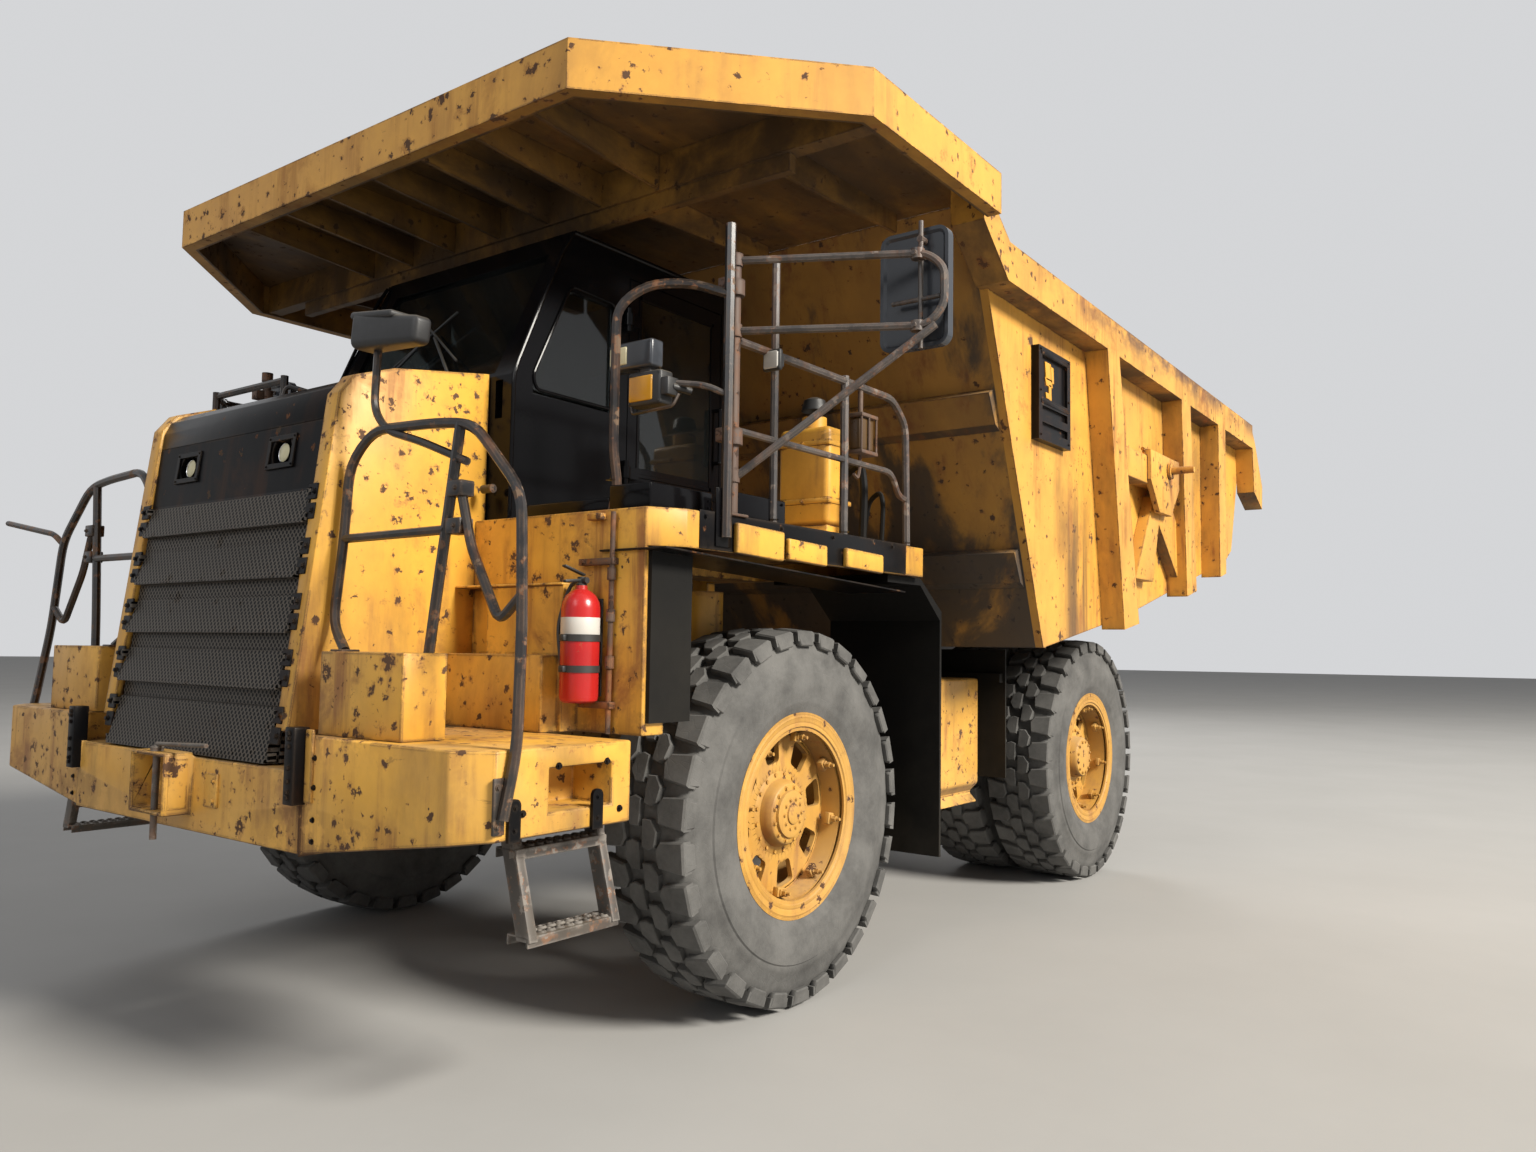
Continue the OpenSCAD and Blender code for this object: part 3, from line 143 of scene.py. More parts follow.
def group(name, inputs, outputs):
    """An empty shader node group with named sockets."""
    tree = bpy.data.node_groups.new(name, "ShaderNodeTree")
    for label, kind, value in inputs:
        socket = tree.interface.new_socket(label, in_out="INPUT", socket_type=kind)
        if value is not None:
            socket.default_value = value
    for label, kind in outputs:
        tree.interface.new_socket(label, in_out="OUTPUT", socket_type=kind)
    return tree, tree.nodes.new("NodeGroupInput"), tree.nodes.new("NodeGroupOutput")


number = "NodeSocketFloat"
print("node helpers ready")

# %% [markdown]
# Paint on a mining truck fails in five ways: stones knock chips through it, each chip
# grows a rusty ring, rust weeps down from seams, edges wear bare, and dust and grime
# settle. Under faces that look down the grime is a brown film that also paints the shade
# there. One node group makes the masks from Object coordinates in metres, so a chip is
# the same size on every piece.

# %% Weathering and painted shade group
def spots(tree, where, scale, share, size):
    """Distance in chip radii from scattered spots: below 1 is inside one."""
    torn = place(tree, "ShaderNodeTexNoise", sockets={
        "Vector": where, "Scale": scale * 1.7, "Detail": 5.0, "Roughness": 0.7})
    shifted = place(tree, "ShaderNodeVectorMath", operation="ADD",
                    sockets={0: where, 1: torn.outputs["Color"]}).outputs[0]
    bent = place(tree, "ShaderNodeMix", data_type="VECTOR", sockets={
        0: 1.9 / scale, 4: where, 5: shifted})
    cells = place(tree, "ShaderNodeTexVoronoi", sockets={
        "Vector": bent.outputs[1], "Scale": scale})
    random_part = place(tree, "ShaderNodeSeparateColor", sockets={
        "Color": cells.outputs["Color"]}).outputs
    picked = maths(tree, "LESS_THAN", random_part["Red"], share)
    radius = maths(tree, "MULTIPLY", size, maths(
        tree, "MULTIPLY_ADD", maths(tree, "POWER", random_part["Green"], 4.0), 1.5, 0.25))
    apart = maths(tree, "DIVIDE", cells.outputs["Distance"], radius)
    # a spot that isn't picked is pushed far away
    return maths(tree, "ADD", apart, maths(tree, "MULTIPLY_ADD", picked, -9.0, 9.0))


def weathering_and_shade_group():
    tree, given, result = group("weathering", [
        ("Chips", number, 0.5), ("Rust", number, 0.4), ("Dust", number, 0.4),
        ("Edges", number, 0.5), ("Grime", number, 0.5)],
        [("Chip", number), ("Weep", number), ("Dusty", number), ("Shade", number),
         ("Dirt", number)])
    where = place(tree, "ShaderNodeTexCoord").outputs["Object"]
    geometry = place(tree, "ShaderNodeNewGeometry")
    # worn edges: where a rounded normal leaves the true one
    rounded = place(tree, "ShaderNodeBevel", samples=4, sockets={"Radius": 0.016})
    same = place(tree, "ShaderNodeVectorMath", operation="DOT_PRODUCT",
                 sockets={0: rounded.outputs[0], 1: geometry.outputs["True Normal"]})
    edge = maths(tree, "SUBTRACT", 1.0, same.outputs["Value"])
    patchy = noise(tree, where, 7.0, 8.0, 0.72)
    edge = maths(tree, "MULTIPLY", between(tree, edge, 0.01, 0.08),
                 between(tree, patchy, 0.43, 0.53))
    edge = maths(tree, "MULTIPLY", edge, given.outputs["Edges"])
    # stone chips in two sizes, crowded where a slow noise lets them through
    crowd = between(tree, noise(tree, where, 0.9, 6.0, 0.66), 0.36, 0.66)
    share = maths(tree, "MULTIPLY", given.outputs["Chips"],
                  maths(tree, "MULTIPLY_ADD", crowd, 1.1, 0.1))
    apart = maths(tree, "MINIMUM", spots(tree, where, 34.0, share, 0.4),
                  spots(tree, where, 13.0, share, 0.25))
    chip = maths(tree, "LESS_THAN", apart, 1.0)
    ring = maths(tree, "SUBTRACT", 1.0, between(tree, apart, 1.0, 2.1))
    scuffs = place(tree, "ShaderNodeTexNoise", sockets={
        "Vector": stretched(tree, where, (2.0, 2.0, 5.0)), "Scale": 2.1, "Detail": 10.0,
        "Roughness": 0.74, "Distortion": 0.5}).outputs["Fac"]
    scuffs = maths(tree, "MULTIPLY", between(tree, scuffs, 0.645, 0.665),
                   given.outputs["Chips"])
    chip = maths(tree, "MAXIMUM", maths(tree, "MAXIMUM", chip, scuffs), edge, clamp=True)
    # rust that weeps downward: noise drawn out along the height
    runs = noise(tree, stretched(tree, where, (6.0, 6.0, 0.5)), 1.6, 7.0, 0.6)
    blots = noise(tree, where, 1.5, 9.0, 0.66, 0.3)
    weep = maths(tree, "MULTIPLY", between(tree, runs, 0.47, 0.68),
                 between(tree, blots, 0.42, 0.62))
    weep = maths(tree, "MAXIMUM", weep,
                 maths(tree, "MULTIPLY", between(tree, blots, 0.58, 0.7), 0.85))
    weep = maths(tree, "MULTIPLY", weep, given.outputs["Rust"])
    weep = maths(tree, "MAXIMUM", weep, maths(tree, "MULTIPLY", ring, 0.55), clamp=True)
    # dust: thick on top faces, and near the ground
    facing = along(tree, geometry.outputs["Normal"])["Z"]
    height = along(tree, where)["Z"]
    settled = maths(tree, "ADD", between(tree, facing, 0.35, 0.95),
                    maths(tree, "SUBTRACT", 0.55, between(tree, height, 0.2, 2.6)))
    cloud = noise(tree, where, 1.1, 8.0, 0.62)
    dust = maths(tree, "MULTIPLY", maths(tree, "ADD", settled, 0.35),
                 between(tree, cloud, 0.3, 0.75))
    dust = maths(tree, "MULTIPLY", dust, given.outputs["Dust"], clamp=True)
    # grime and painted shade: the brown film under what faces down is painted shade with
    # grime, and the streaks and smears elsewhere are grime
    under = maths(tree, "SUBTRACT", 1.0, between(tree, facing, -0.75, -0.15))
    smear = noise(tree, stretched(tree, where, (1.3, 1.3, 0.45)), 1.2, 9.0, 0.64, 0.3)
    film = maths(tree, "MULTIPLY", under, maths(
        tree, "MULTIPLY_ADD", between(tree, smear, 0.3, 0.62), 0.55, 0.42))
    streak = maths(tree, "MULTIPLY", between(tree, smear, 0.5, 0.72), 0.55)
    # the Dirt mask: grime streaks, and painted shade with grime under what faces down
    dirt_and_shade = maths(tree, "MULTIPLY", maths(tree, "MAXIMUM", film, streak),
                 given.outputs["Grime"], clamp=True)
    shade = maths(tree, "MULTIPLY_ADD", noise(tree, where, 2.3, 9.0, 0.64), 1.5, -0.15,
                  clamp=True)
    for label, value in (("Chip", chip), ("Weep", weep), ("Dusty", dust),
                         ("Shade", shade), ("Dirt", dirt_and_shade)):
        feed(tree, result.inputs[label], value)
    return tree


weathering = weathering_and_shade_group()
print("weathering group with", len(weathering.nodes), "nodes")

# %% [markdown]
# Every painted finish is the same recipe with other numbers: a base colour that varies a
# little, grime and rust over it, with painted shade in the grime under faces that look down,
# dust over all, and dark primer and steel in the chips.
# The bump holds only broad dents and a fine grain. The chips stay out of it, because a
# bump reads its height three times over, and a chip is thinner than the eye can find.

# %% Painted finishes
chip_dark = (0.085, 0.040, 0.018)
rust_brown = (0.24, 0.085, 0.022)
grime_and_shade_brown = (0.045, 0.027, 0.014)
dust_pale = (0.44, 0.37, 0.27)


def material(name):
    made = bpy.data.materials.new(name)
    made.use_nodes = True
    tree = made.node_tree
    shader = tree.nodes["Principled BSDF"]
    return made, tree, shader


def weathered_and_shaded(tree, chips, rust, dust, edges, grime_and_shade=0.5):
    return place(tree, "ShaderNodeGroup", node_tree=weathering, sockets={
        "Chips": chips, "Rust": rust, "Dust": dust, "Edges": edges,
        "Grime": grime_and_shade}).outputs


def painted(name, colour, chips=0.5, rust=0.4, dust=0.4, edges=0.6, gloss=0.42,
            under=chip_dark, dent=0.35, grime_and_shade=0.5, extra=None, shine=0.5):
    made, tree, shader = material(name)
    shader.inputs["Specular IOR Level"].default_value = shine
    worn = weathered_and_shaded(tree, chips, rust, dust, edges, grime_and_shade)
    where = place(tree, "ShaderNodeTexCoord").outputs["Object"]
    dull = tuple(c * k for c, k in zip(colour, (0.56, 0.5, 0.6)))
    base = blend_colour(tree, worn["Shade"], dull, colour)
    # grime brown: streaks of grime, and painted shade with grime under faces that look down
    base = blend_colour(tree, worn["Dirt"], base, grime_and_shade_brown)
    base = blend_colour(tree, worn["Weep"], base, rust_brown)
    base = blend_colour(tree, worn["Dusty"], base, dust_pale)
    base = blend_colour(tree, worn["Chip"], base, under)
    dents = noise(tree, where, 4.0, 2.0, 0.5)
    grain = noise(tree, where, 240.0, 2.0, 0.5)
    height = maths(tree, "ADD", maths(tree, "MULTIPLY", dents, dent),
                   maths(tree, "MULTIPLY", grain, 0.02))
    if extra:
        base, height = extra(tree, where, base, height)
    feed(tree, shader.inputs["Base Color"], base)
    rough = maths(tree, "ADD", gloss, maths(tree, "MULTIPLY", worn["Dusty"], 0.35))
    for mask in ("Chip", "Weep", "Dirt"):
        rough = maths(tree, "ADD", rough, maths(tree, "MULTIPLY", worn[mask], 0.28),
                      clamp=True)
    feed(tree, shader.inputs["Roughness"], rough)
    bump = place(tree, "ShaderNodeBump", sockets={
        "Height": height, "Strength": 0.55, "Distance": 0.01})
    feed(tree, shader.inputs["Normal"], bump.outputs[0])
    return made


# %% [markdown]
# Three finishes need one thing more. The louvres in the grille are sheets with rows of
# punched holes, painted near-black as painted shade, the bed is scraped down to steel
# where loads slide, and under the canopy a brown film paints the shade there along with
# baked soot and grease. Each pattern is placed by plain limits along X, Y and Z.

# %% Holes, scrapes, and painted shade under the canopy
def pierced(tree, where, base, height):
    """Staggered round holes through the louvre sheets, painted near-black as painted shade,
    with dust between them.
    """
    turned = place(tree, "ShaderNodeMapping", sockets={
        "Vector": stretched(tree, where, (0.0, 1.0, 1.0)),
        "Rotation": (math.radians(45), 0, 0)}).outputs[0]
    holes = place(tree, "ShaderNodeTexVoronoi", sockets={
        "Vector": turned, "Scale": 48.0, "Randomness": 0.0}).outputs["Distance"]
    hole_shade = maths(tree, "LESS_THAN", holes, 0.38)
    grille_top = 2.352
    low = maths(tree, "LESS_THAN", along(tree, where)["Z"], grille_top)
    hole_shade = maths(tree, "MULTIPLY", hole_shade, low)
    sheet = blend_colour(tree, maths(tree, "MULTIPLY", low, 0.9), base,
                         (0.115, 0.10, 0.085))
    # the holes are painted near-black: painted shade, where the sheet has no real holes
    return (blend_colour(tree, hole_shade, sheet, (0.002, 0.002, 0.002)),
            maths(tree, "SUBTRACT", height, maths(tree, "MULTIPLY", hole_shade, 0.5)))


def scraped(tree, where, base, height):
    """The bed's front wall and inside: yellow scraped down to dark steel by loads."""
    x, y, z = along(tree, where)
    aside = maths(tree, "ABSOLUTE", y)
    inside = maths(tree, "MULTIPLY", maths(tree, "LESS_THAN", x, 1.5),
                   maths(tree, "LESS_THAN", aside, 2.2))
    smear = noise(tree, stretched(tree, where, (0.7, 0.9, 0.4)), 1.5, 9.0, 0.62, 0.6)
    lower = maths(tree, "MULTIPLY_ADD", between(tree, z, 1.9, 3.6), 0.14, 0.38)
    bare = between(tree, maths(tree, "SUBTRACT", smear, lower), 0.0, 0.1)
    film = maths(tree, "MULTIPLY", inside, maths(tree, "MULTIPLY_ADD", bare, 0.62, 0.32))
    base = blend_colour(tree, film, base, (0.036, 0.034, 0.033))
    # the top rails rust from their upper edge; one long stain runs down the side
    side = between(tree, aside, 2.2, 2.24)
    rusty = between(tree, noise(tree, stretched(tree, where, (1.0, 1.0, 1.6)), 2.6, 9.0,
                                0.7), 0.40, 0.60)
    rail = maths(tree, "MULTIPLY", between(tree, z, 3.70, 3.93), rusty)
    far = between(tree, maths(tree, "MULTIPLY", x, -1.0), -1.0, 1.2)
    rail = maths(tree, "MULTIPLY", rail, maths(tree, "MULTIPLY_ADD", far, 0.65, 0.25))
    base = blend_colour(tree, maths(tree, "MULTIPLY", rail, side), base,
                        (0.075, 0.034, 0.022))
    apart = maths(tree, "ABSOLUTE", maths(tree, "ADD", x, 0.12))
    streak = noise(tree, stretched(tree, where, (7.0, 1.0, 0.4)), 1.7, 7.0, 0.6)
    near = maths(tree, "SUBTRACT", 1.0, between(tree, apart, 0.06, 0.34))
    below = maths(tree, "SUBTRACT", 1.0, between(tree, z, 2.2, 3.0))
    stain = maths(tree, "MULTIPLY", near, between(tree, streak, 0.38, 0.58))
    stain = maths(tree, "MULTIPLY", maths(tree, "MULTIPLY", stain, below), side)
    base = blend_colour(tree, maths(tree, "MULTIPLY", stain, 0.8), base,
                        (0.07, 0.042, 0.024))
    return base, height


def canopy_grime_and_shade(tree, where, base, height):
    """Under the canopy: every face inside its band is painted brown, as painted shade with
    baked grime.
    """
    x, y, z = along(tree, where)
    aside = maths(tree, "ABSOLUTE", y)
    corner = maths(tree, "MULTIPLY_ADD", x, 0.905, maths(tree, "MULTIPLY", aside, 0.915))
    inside = maths(tree, "LESS_THAN", x, 3.735)
    for value, limit in ((corner, 4.82), (aside, 2.44), (z, 4.205)):
        inside = maths(tree, "MULTIPLY", inside, maths(tree, "LESS_THAN", value, limit))
    smear = between(tree, noise(tree, stretched(
        tree, where, (0.5, 1.2, 1.0)), 2.0, 9.0, 0.66, 0.4), 0.32, 0.62)
    film = maths(tree, "MULTIPLY", inside, maths(tree, "MULTIPLY_ADD", smear, 0.4, 0.56))
    return blend_colour(tree, film, base, (0.05, 0.029, 0.014)), height


# %% [markdown]
# Now the paints themselves. The numbers after a colour are chips, rust, dust, worn edges
# and gloss. The bed and canopy are a duller yellow than the hood, and the blacks shine
# less than fresh paint does, so that they stay black in a bright room.

# %% The paints
mustard, bed_yellow = (0.80, 0.43, 0.055), (0.74, 0.385, 0.06)
soft_black, worn_steel = (0.006, 0.006, 0.0065), (0.07, 0.05, 0.035)
finish = {
    "yellow_paint": painted("yellow_paint", mustard, 0.4, 0.9, 0.3, 1.0, 0.4, grime_and_shade=1.0),
    "bed_paint": painted("bed_paint", bed_yellow, 0.2, 0.9, 0.4, 1.0, 0.46, grime_and_shade=1.0,
                         extra=scraped),
    # the canopy's underside and ribs are painted brown: painted shade with baked grime
    "canopy_paint": painted("canopy_paint", bed_yellow, 0.2, 0.6, 0.4, 1.0, 0.46,
                            grime_and_shade=0.7, extra=canopy_grime_and_shade),
    "frame_paint": painted("frame_paint", (0.42, 0.23, 0.045), 0.6, 0.6, 0.7, 0.5, 0.6,
                           grime_and_shade=1.0),
    "rim_paint": painted("rim_paint", (0.62, 0.33, 0.045), 0.3, 0.7, 0.3, 0.25, 0.5,
                         grime_and_shade=0.8),
    "black_paint": painted("black_paint", soft_black, 0.05, 0.05, 0.0, 0.3, 0.28,
                           worn_steel, grime_and_shade=0.0, shine=0.1),
    "grille_sheet": painted("grille_sheet", soft_black, 0.08, 0.1, 0.0, 0.5, 0.32,
                            worn_steel, grime_and_shade=0.0, extra=pierced, shine=0.06),
    "cab_black": painted("cab_black", (0.005, 0.005, 0.0056), 0.0, 0.0, 0.0, 0.0, 0.12,
                         worn_steel, dent=0.15, grime_and_shade=0.0, shine=0.12),
    "red_paint": painted("red_paint", (0.5, 0.012, 0.014), 0.12, 0.05, 0.08, 0.4, 0.26,
                         dent=0.0, grime_and_shade=0.1),
    "bare_steel": painted("bare_steel", (0.05, 0.045, 0.04), 0.8, 0.5, 0.2, 1.0, 0.5,
                          (0.2, 0.18, 0.16)),
    "rail_paint": painted("rail_paint", (0.012, 0.0115, 0.012), 0.5, 0.35, 0.1, 0.6, 0.3,
                          (0.12, 0.075, 0.045), grime_and_shade=0.2),
    "worn_tube": painted("worn_tube", (0.05, 0.046, 0.044), 0.6, 0.4, 0.25, 0.8, 0.35,
                         (0.16, 0.13, 0.11)),
    "rusty_tube": painted("rusty_tube", (0.12, 0.075, 0.05), 0.8, 1.2, 0.5, 0.8, 0.6,
                          (0.05, 0.03, 0.022)),
    "engine_iron": painted("engine_iron", (0.1, 0.085, 0.07), 0.3, 0.7, 0.6, 0.3, 0.6),
}
print("painted finishes:", ", ".join(finish))

# %% [markdown]
# Rubber, plastic, glass and chrome don't rust. Three short recipes cover them: a plain
# finish that varies a little and takes dust, tyre rubber with scuffs and fine cuts, and
# glass with a film of dirt.

# %% Other finishes
def plain(name, colour, rough, dust=0.0, metal=0.0, bump=0.0, scale=300.0, shine=0.5):
    made, tree, shader = material(name)
    shader.inputs["Specular IOR Level"].default_value = shine
    where = place(tree, "ShaderNodeTexCoord").outputs["Object"]
    worn = weathered_and_shaded(tree, 0.0, 0.0, dust, 0.0)
    tone = noise(tree, where, 6.0, 7.0, 0.65)
    base = blend_colour(tree, tone, tuple(c * 0.7 for c in colour), colour)
    base = blend_colour(tree, worn["Dusty"], base, dust_pale)
    feed(tree, shader.inputs["Base Color"], base)
    feed(tree, shader.inputs["Roughness"], maths(
        tree, "MULTIPLY_ADD", noise(tree, where, 30.0, 4.0), 0.2, rough - 0.1))
    shader.inputs["Metallic"].default_value = metal
    if bump:
        made_bump = place(tree, "ShaderNodeBump", sockets={
            "Height": noise(tree, where, scale, 3.0), "Strength": bump,
            "Distance": 0.002})
        feed(tree, shader.inputs["Normal"], made_bump.outputs[0])
    return made


def rubbed(name, colour, dusty):
    """Tyre rubber: pale and scuffed on the sidewall, darker in the tread, fine grooves."""
    made, tree, shader = material(name)
    where = place(tree, "ShaderNodeTexCoord").outputs["Object"]
    cloud = noise(tree, where, 3.4, 9.0, 0.68)
    fine = noise(tree, where, 38.0, 6.0, 0.7)
    tone = maths(tree, "MULTIPLY_ADD", fine, 0.35, maths(
        tree, "MULTIPLY", between(tree, cloud, 0.25, 0.7), 0.75), clamp=True)
    feed(tree, shader.inputs["Base Color"], blend_colour(tree, tone, colour, dusty))
    shader.inputs["Roughness"].default_value = 0.82
    cuts = place(tree, "ShaderNodeTexVoronoi", feature="DISTANCE_TO_EDGE", sockets={
        "Vector": where, "Scale": 17.0}).outputs["Distance"]
    height = maths(tree, "ADD", maths(tree, "MULTIPLY", noise(
        tree, where, 90.0, 5.0, 0.7), 0.35), maths(
            tree, "MULTIPLY", between(tree, cuts, 0.0, 0.05), 0.12))
    bump = place(tree, "ShaderNodeBump", sockets={
        "Height": height, "Strength": 0.5, "Distance": 0.005})
    feed(tree, shader.inputs["Normal"], bump.outputs[0])
    return made


def clear(name, colour, rough, share):
    made, tree, shader = material(name)
    where = place(tree, "ShaderNodeTexCoord").outputs["Object"]
    smear = noise(tree, where, 5.0, 6.0, 0.6)
    base = blend_colour(tree, between(tree, smear, 0.45, 0.8),
                        colour, tuple(c * 0.8 + 0.06 for c in colour))
    feed(tree, shader.inputs["Base Color"], base)
    feed(tree, shader.inputs["Roughness"], maths(
        tree, "MULTIPLY_ADD", smear, rough, rough * 0.5))
    shader.inputs["Transmission Weight"].default_value = share
    shader.inputs["IOR"].default_value = 1.45
    return made


finish.update({
    "black_plastic": plain("black_plastic", (0.02, 0.02, 0.021), 0.5, 0.3, bump=0.3),
    "rubber_flap": plain("rubber_flap", (0.008, 0.0078, 0.0075), 0.6, 0.1, bump=0.4,
                         shine=0.12),
    "tyre": rubbed("tyre", (0.035, 0.034, 0.033), (0.135, 0.132, 0.126)),
    "tyre_bead": rubbed("tyre_bead", (0.022, 0.018, 0.014), (0.085, 0.072, 0.056)),
    "tyre_tread": rubbed("tyre_tread", (0.014, 0.0125, 0.011), (0.06, 0.054, 0.047)),
    "cab_trim": plain("cab_trim", (0.05, 0.05, 0.053), 0.6, 0.2, bump=0.3),
    "rod_chrome": plain("rod_chrome", (0.75, 0.75, 0.77), 0.18, 0.05, metal=1.0),
    "mirror_shell": plain("mirror_shell", (0.045, 0.05, 0.06), 0.22, 0.1),
    "amber_smoke": plain("amber_smoke", (0.10, 0.055, 0.02), 0.3, 0.4),
    "white_band": plain("white_band", (0.62, 0.6, 0.56), 0.4, 0.1),
    "amber_lens": plain("amber_lens", (0.75, 0.36, 0.03), 0.22, 0.15),
    "pale_lens": plain("pale_lens", (0.72, 0.66, 0.42), 0.22, 0.15),
    "seat_cloth": plain("seat_cloth", (0.03, 0.03, 0.033), 0.85, 0.3, bump=0.6, scale=900.0),
    "lamp_red": plain("lamp_red", (0.4, 0.02, 0.015), 0.25, 0.1),
    "glass": clear("glass", (0.16, 0.18, 0.18), 0.03, 0.97),
    "lamp_glass": clear("lamp_glass", (0.93, 0.9, 0.8), 0.12, 0.6),
})

# %% [markdown]
# The record names a material slot for each node. A few nodes look different from the rest
# of their slot, such as the pierced grille and the glossy cab, and those are listed here.

# %% Give every CAD node its finish
slots = {part["node"]: part["material_slot"] for part in frame["record"]["subparts"]}
own = {"radiator_grille": "grille_sheet", "canopy": "canopy_paint", "deck_rails": "rail_paint",
       "front_handrails": "rail_paint", "mirrors": "rail_paint",
       "retention_pins": "bed_paint", "cab_shell": "cab_black", "cab_door": "cab_black",
       "mudguards": "rubber_flap"}
for name, node in nodes.items():
    for held in node.material_slots:
        held.material = finish[own.get(name, slots[name])]
print("finished", len(nodes), "nodes with", len(finish), "materials")

# %% [markdown]
# The truck stands on a plain pale floor in a bright, even room. One broad lamp from the
# truck's left makes the side brighter than the front, as daylight through an open
# door would, and the pale world fills the shadows.

# %% Floor, world and lamps
bm = bmesh.new()
bmesh.ops.create_circle(bm, cap_ends=True, segments=96, radius=120)
floor_mesh = bpy.data.meshes.new("floor")
bm.to_mesh(floor_mesh)
bm.free()
floor = bpy.data.objects.new("floor", floor_mesh)
bpy.context.scene.collection.objects.link(floor)
made, tree, shader = material("floor")
speck = noise(tree, place(tree, "ShaderNodeTexCoord").outputs["Object"], 0.6, 8.0, 0.6)
feed(tree, shader.inputs["Base Color"], blend_colour(
    tree, speck, (0.33, 0.325, 0.315), (0.40, 0.395, 0.385)))
shader.inputs["Roughness"].default_value = 0.85
floor_mesh.materials.append(made)

world = bpy.data.worlds.new("world")
world.use_nodes = True
bpy.context.scene.world = world
tree = world.node_tree
sky = tree.nodes["Background"]
rays = place(tree, "ShaderNodeLightPath")
seen = maths(tree, "MAXIMUM", rays.outputs["Is Camera Ray"], maths(
    tree, "MAXIMUM", rays.outputs["Is Glossy Ray"], rays.outputs["Is Transmission Ray"]))
sky.inputs["Color"].default_value = (0.92, 0.93, 0.95, 1)
fill_light, more_where_seen = 0.25, 0.47
feed(tree, sky.inputs["Strength"], maths(
    tree, "MULTIPLY_ADD", seen, more_where_seen, fill_light))


def lamp(name, place_at, target, size, power, colour=(1, 1, 1)):
    data = bpy.data.lights.new(name, "AREA")
    data.shape = "DISK"
    data.size = size
    data.energy = power
    data.color = colour
    made = bpy.data.objects.new(name, data)
    made.location = place_at
    made.rotation_euler = (Vector(target) - Vector(place_at)).to_track_quat(
        "-Z", "Y").to_euler()
    bpy.context.scene.collection.objects.link(made)


lamp("side_lamp", (0.0, 34, 23), (0, 0, 1.8), 12, 30000, (1.0, 0.95, 0.86))
lamp("front_lamp", (22, 3, 14), (2, 0, 1.5), 12, 1200)
lamp("back_lamp", (-18, -12, 15), (-1, 0, 2), 10, 1800)
print("lit by three lamps and a pale world")

# %% [markdown]
# Many pieces are turned, repeated or bent from a bar. The first helpers turn, move and
# bevel what a bmesh holds, spin a profile about an axis, and make a box with rounded
# edges. Most pieces stand on both sides of the truck, so a box may be given for the left
# side and mirrored.

# %% Shape helpers
def rotate(bm, parts, angle, axis):
    bmesh.ops.rotate(bm, verts=parts, cent=(0, 0, 0),
                     matrix=Matrix.Rotation(angle, 3, axis))


def moved(bm, parts, by):
    bmesh.ops.translate(bm, vec=by, verts=parts)


def bevelled(bm, edges, width, segments, **more):
    return bmesh.ops.bevel(bm, geom=edges, offset=width, segments=segments, profile=0.5,
                           affect="EDGES", material=-1, **more)


def once(things):
    """Each thing once, in the order met. A set's order would change from run to run."""
    return list(dict.fromkeys(things))


def revolved(bm, points, centre, axis, steps, closed=False):
    """Joins points, given from centre, by edges and spins them about an axis there."""
    loop = [bm.verts.new([c + p for c, p in zip(centre, point)]) for point in points]
    after = loop[1:] + loop[:1] if closed else loop[1:]
    edges = [bm.edges.new(pair) for pair in zip(loop, after)]
    bmesh.ops.spin(bm, geom=loop + edges, cent=centre, axis=axis, angle=2 * math.pi,
                   steps=steps, use_merge=True)


def spun(bm, profile, segments, centre, closed=True):
    """Spins [distance along Y, radius] points about the Y axis through centre."""
    revolved(bm, [(0, y, r) for y, r in profile], centre, (0, 1, 0), segments, closed)


def turned(bm, profile, centre, sides=40):
    """Spins [radius, height] points about the Z axis through centre."""
    revolved(bm, [(r, 0, z) for r, z in profile], centre, (0, 0, 1), sides)


def box(bm, low, high, soft=0.0, segments=2):
    """A box between two corners; soft rounds its edges. Returns its vertices."""
    low, high = Vector(low), Vector(high)
    made = bmesh.ops.create_cube(bm, size=1.0)["verts"]
    bmesh.ops.scale(bm, vec=high - low, verts=made)
    moved(bm, made, (low + high) / 2)
    if not soft:
        return made
    rounded = bevelled(bm, once(e for v in made for e in v.link_edges), soft, segments)
    return once([v for f in rounded["faces"] for v in f.verts] + [
        v for v in made if v.is_valid])


def sided(bm, side, low, high, soft=0.0, segments=2):
    """A box given for the left side, which side -1 mirrors to the right."""
    y0, y1 = sorted((low[1] * side, high[1] * side))
    return box(bm, (low[0], y0, low[2]), (high[0], y1, high[2]), soft, segments)


# %% [markdown]
# Rails, rods and bolts come next. A rod is a cone made on the Z axis and aimed from one
# point to the other, a bolt is a washer with a six-sided head, and a tube is a curve with
# a round bevel whose corners are rounded before it is made a mesh.

# %% Rods, bolts and tubes
def aim(start, end):
    """The matrix that carries the Z axis to run from start to end."""
    start, end = Vector(start), Vector(end)
    return Matrix.Translation(start) @ (end - start).to_track_quat("Z", "Y").to_matrix(
        ).to_4x4()


def rod(bm, start, end, radius, sides=16, end_radius=None):
    """A round bar from start to end, closed at both ends."""
    length = (Vector(end) - Vector(start)).length
    made = bmesh.ops.create_cone(
        bm, cap_ends=True, segments=sides, radius1=radius,
        radius2=radius if end_radius is None else end_radius, depth=length)["verts"]
    moved(bm, made, (0, 0, length / 2))
    bmesh.ops.transform(bm, matrix=aim(start, end), verts=made)
    return made


def bolt(bm, at, out, size=0.018):
    """A washer and a six-sided head that stands out of a face."""
    at, out = Vector(at), Vector(out).normalized()
    rod(bm, at - out * 0.002, at + out * size * 0.25, size * 0.95, 10)
    rod(bm, at, at + out * size * 0.8, size * 0.62, 6)


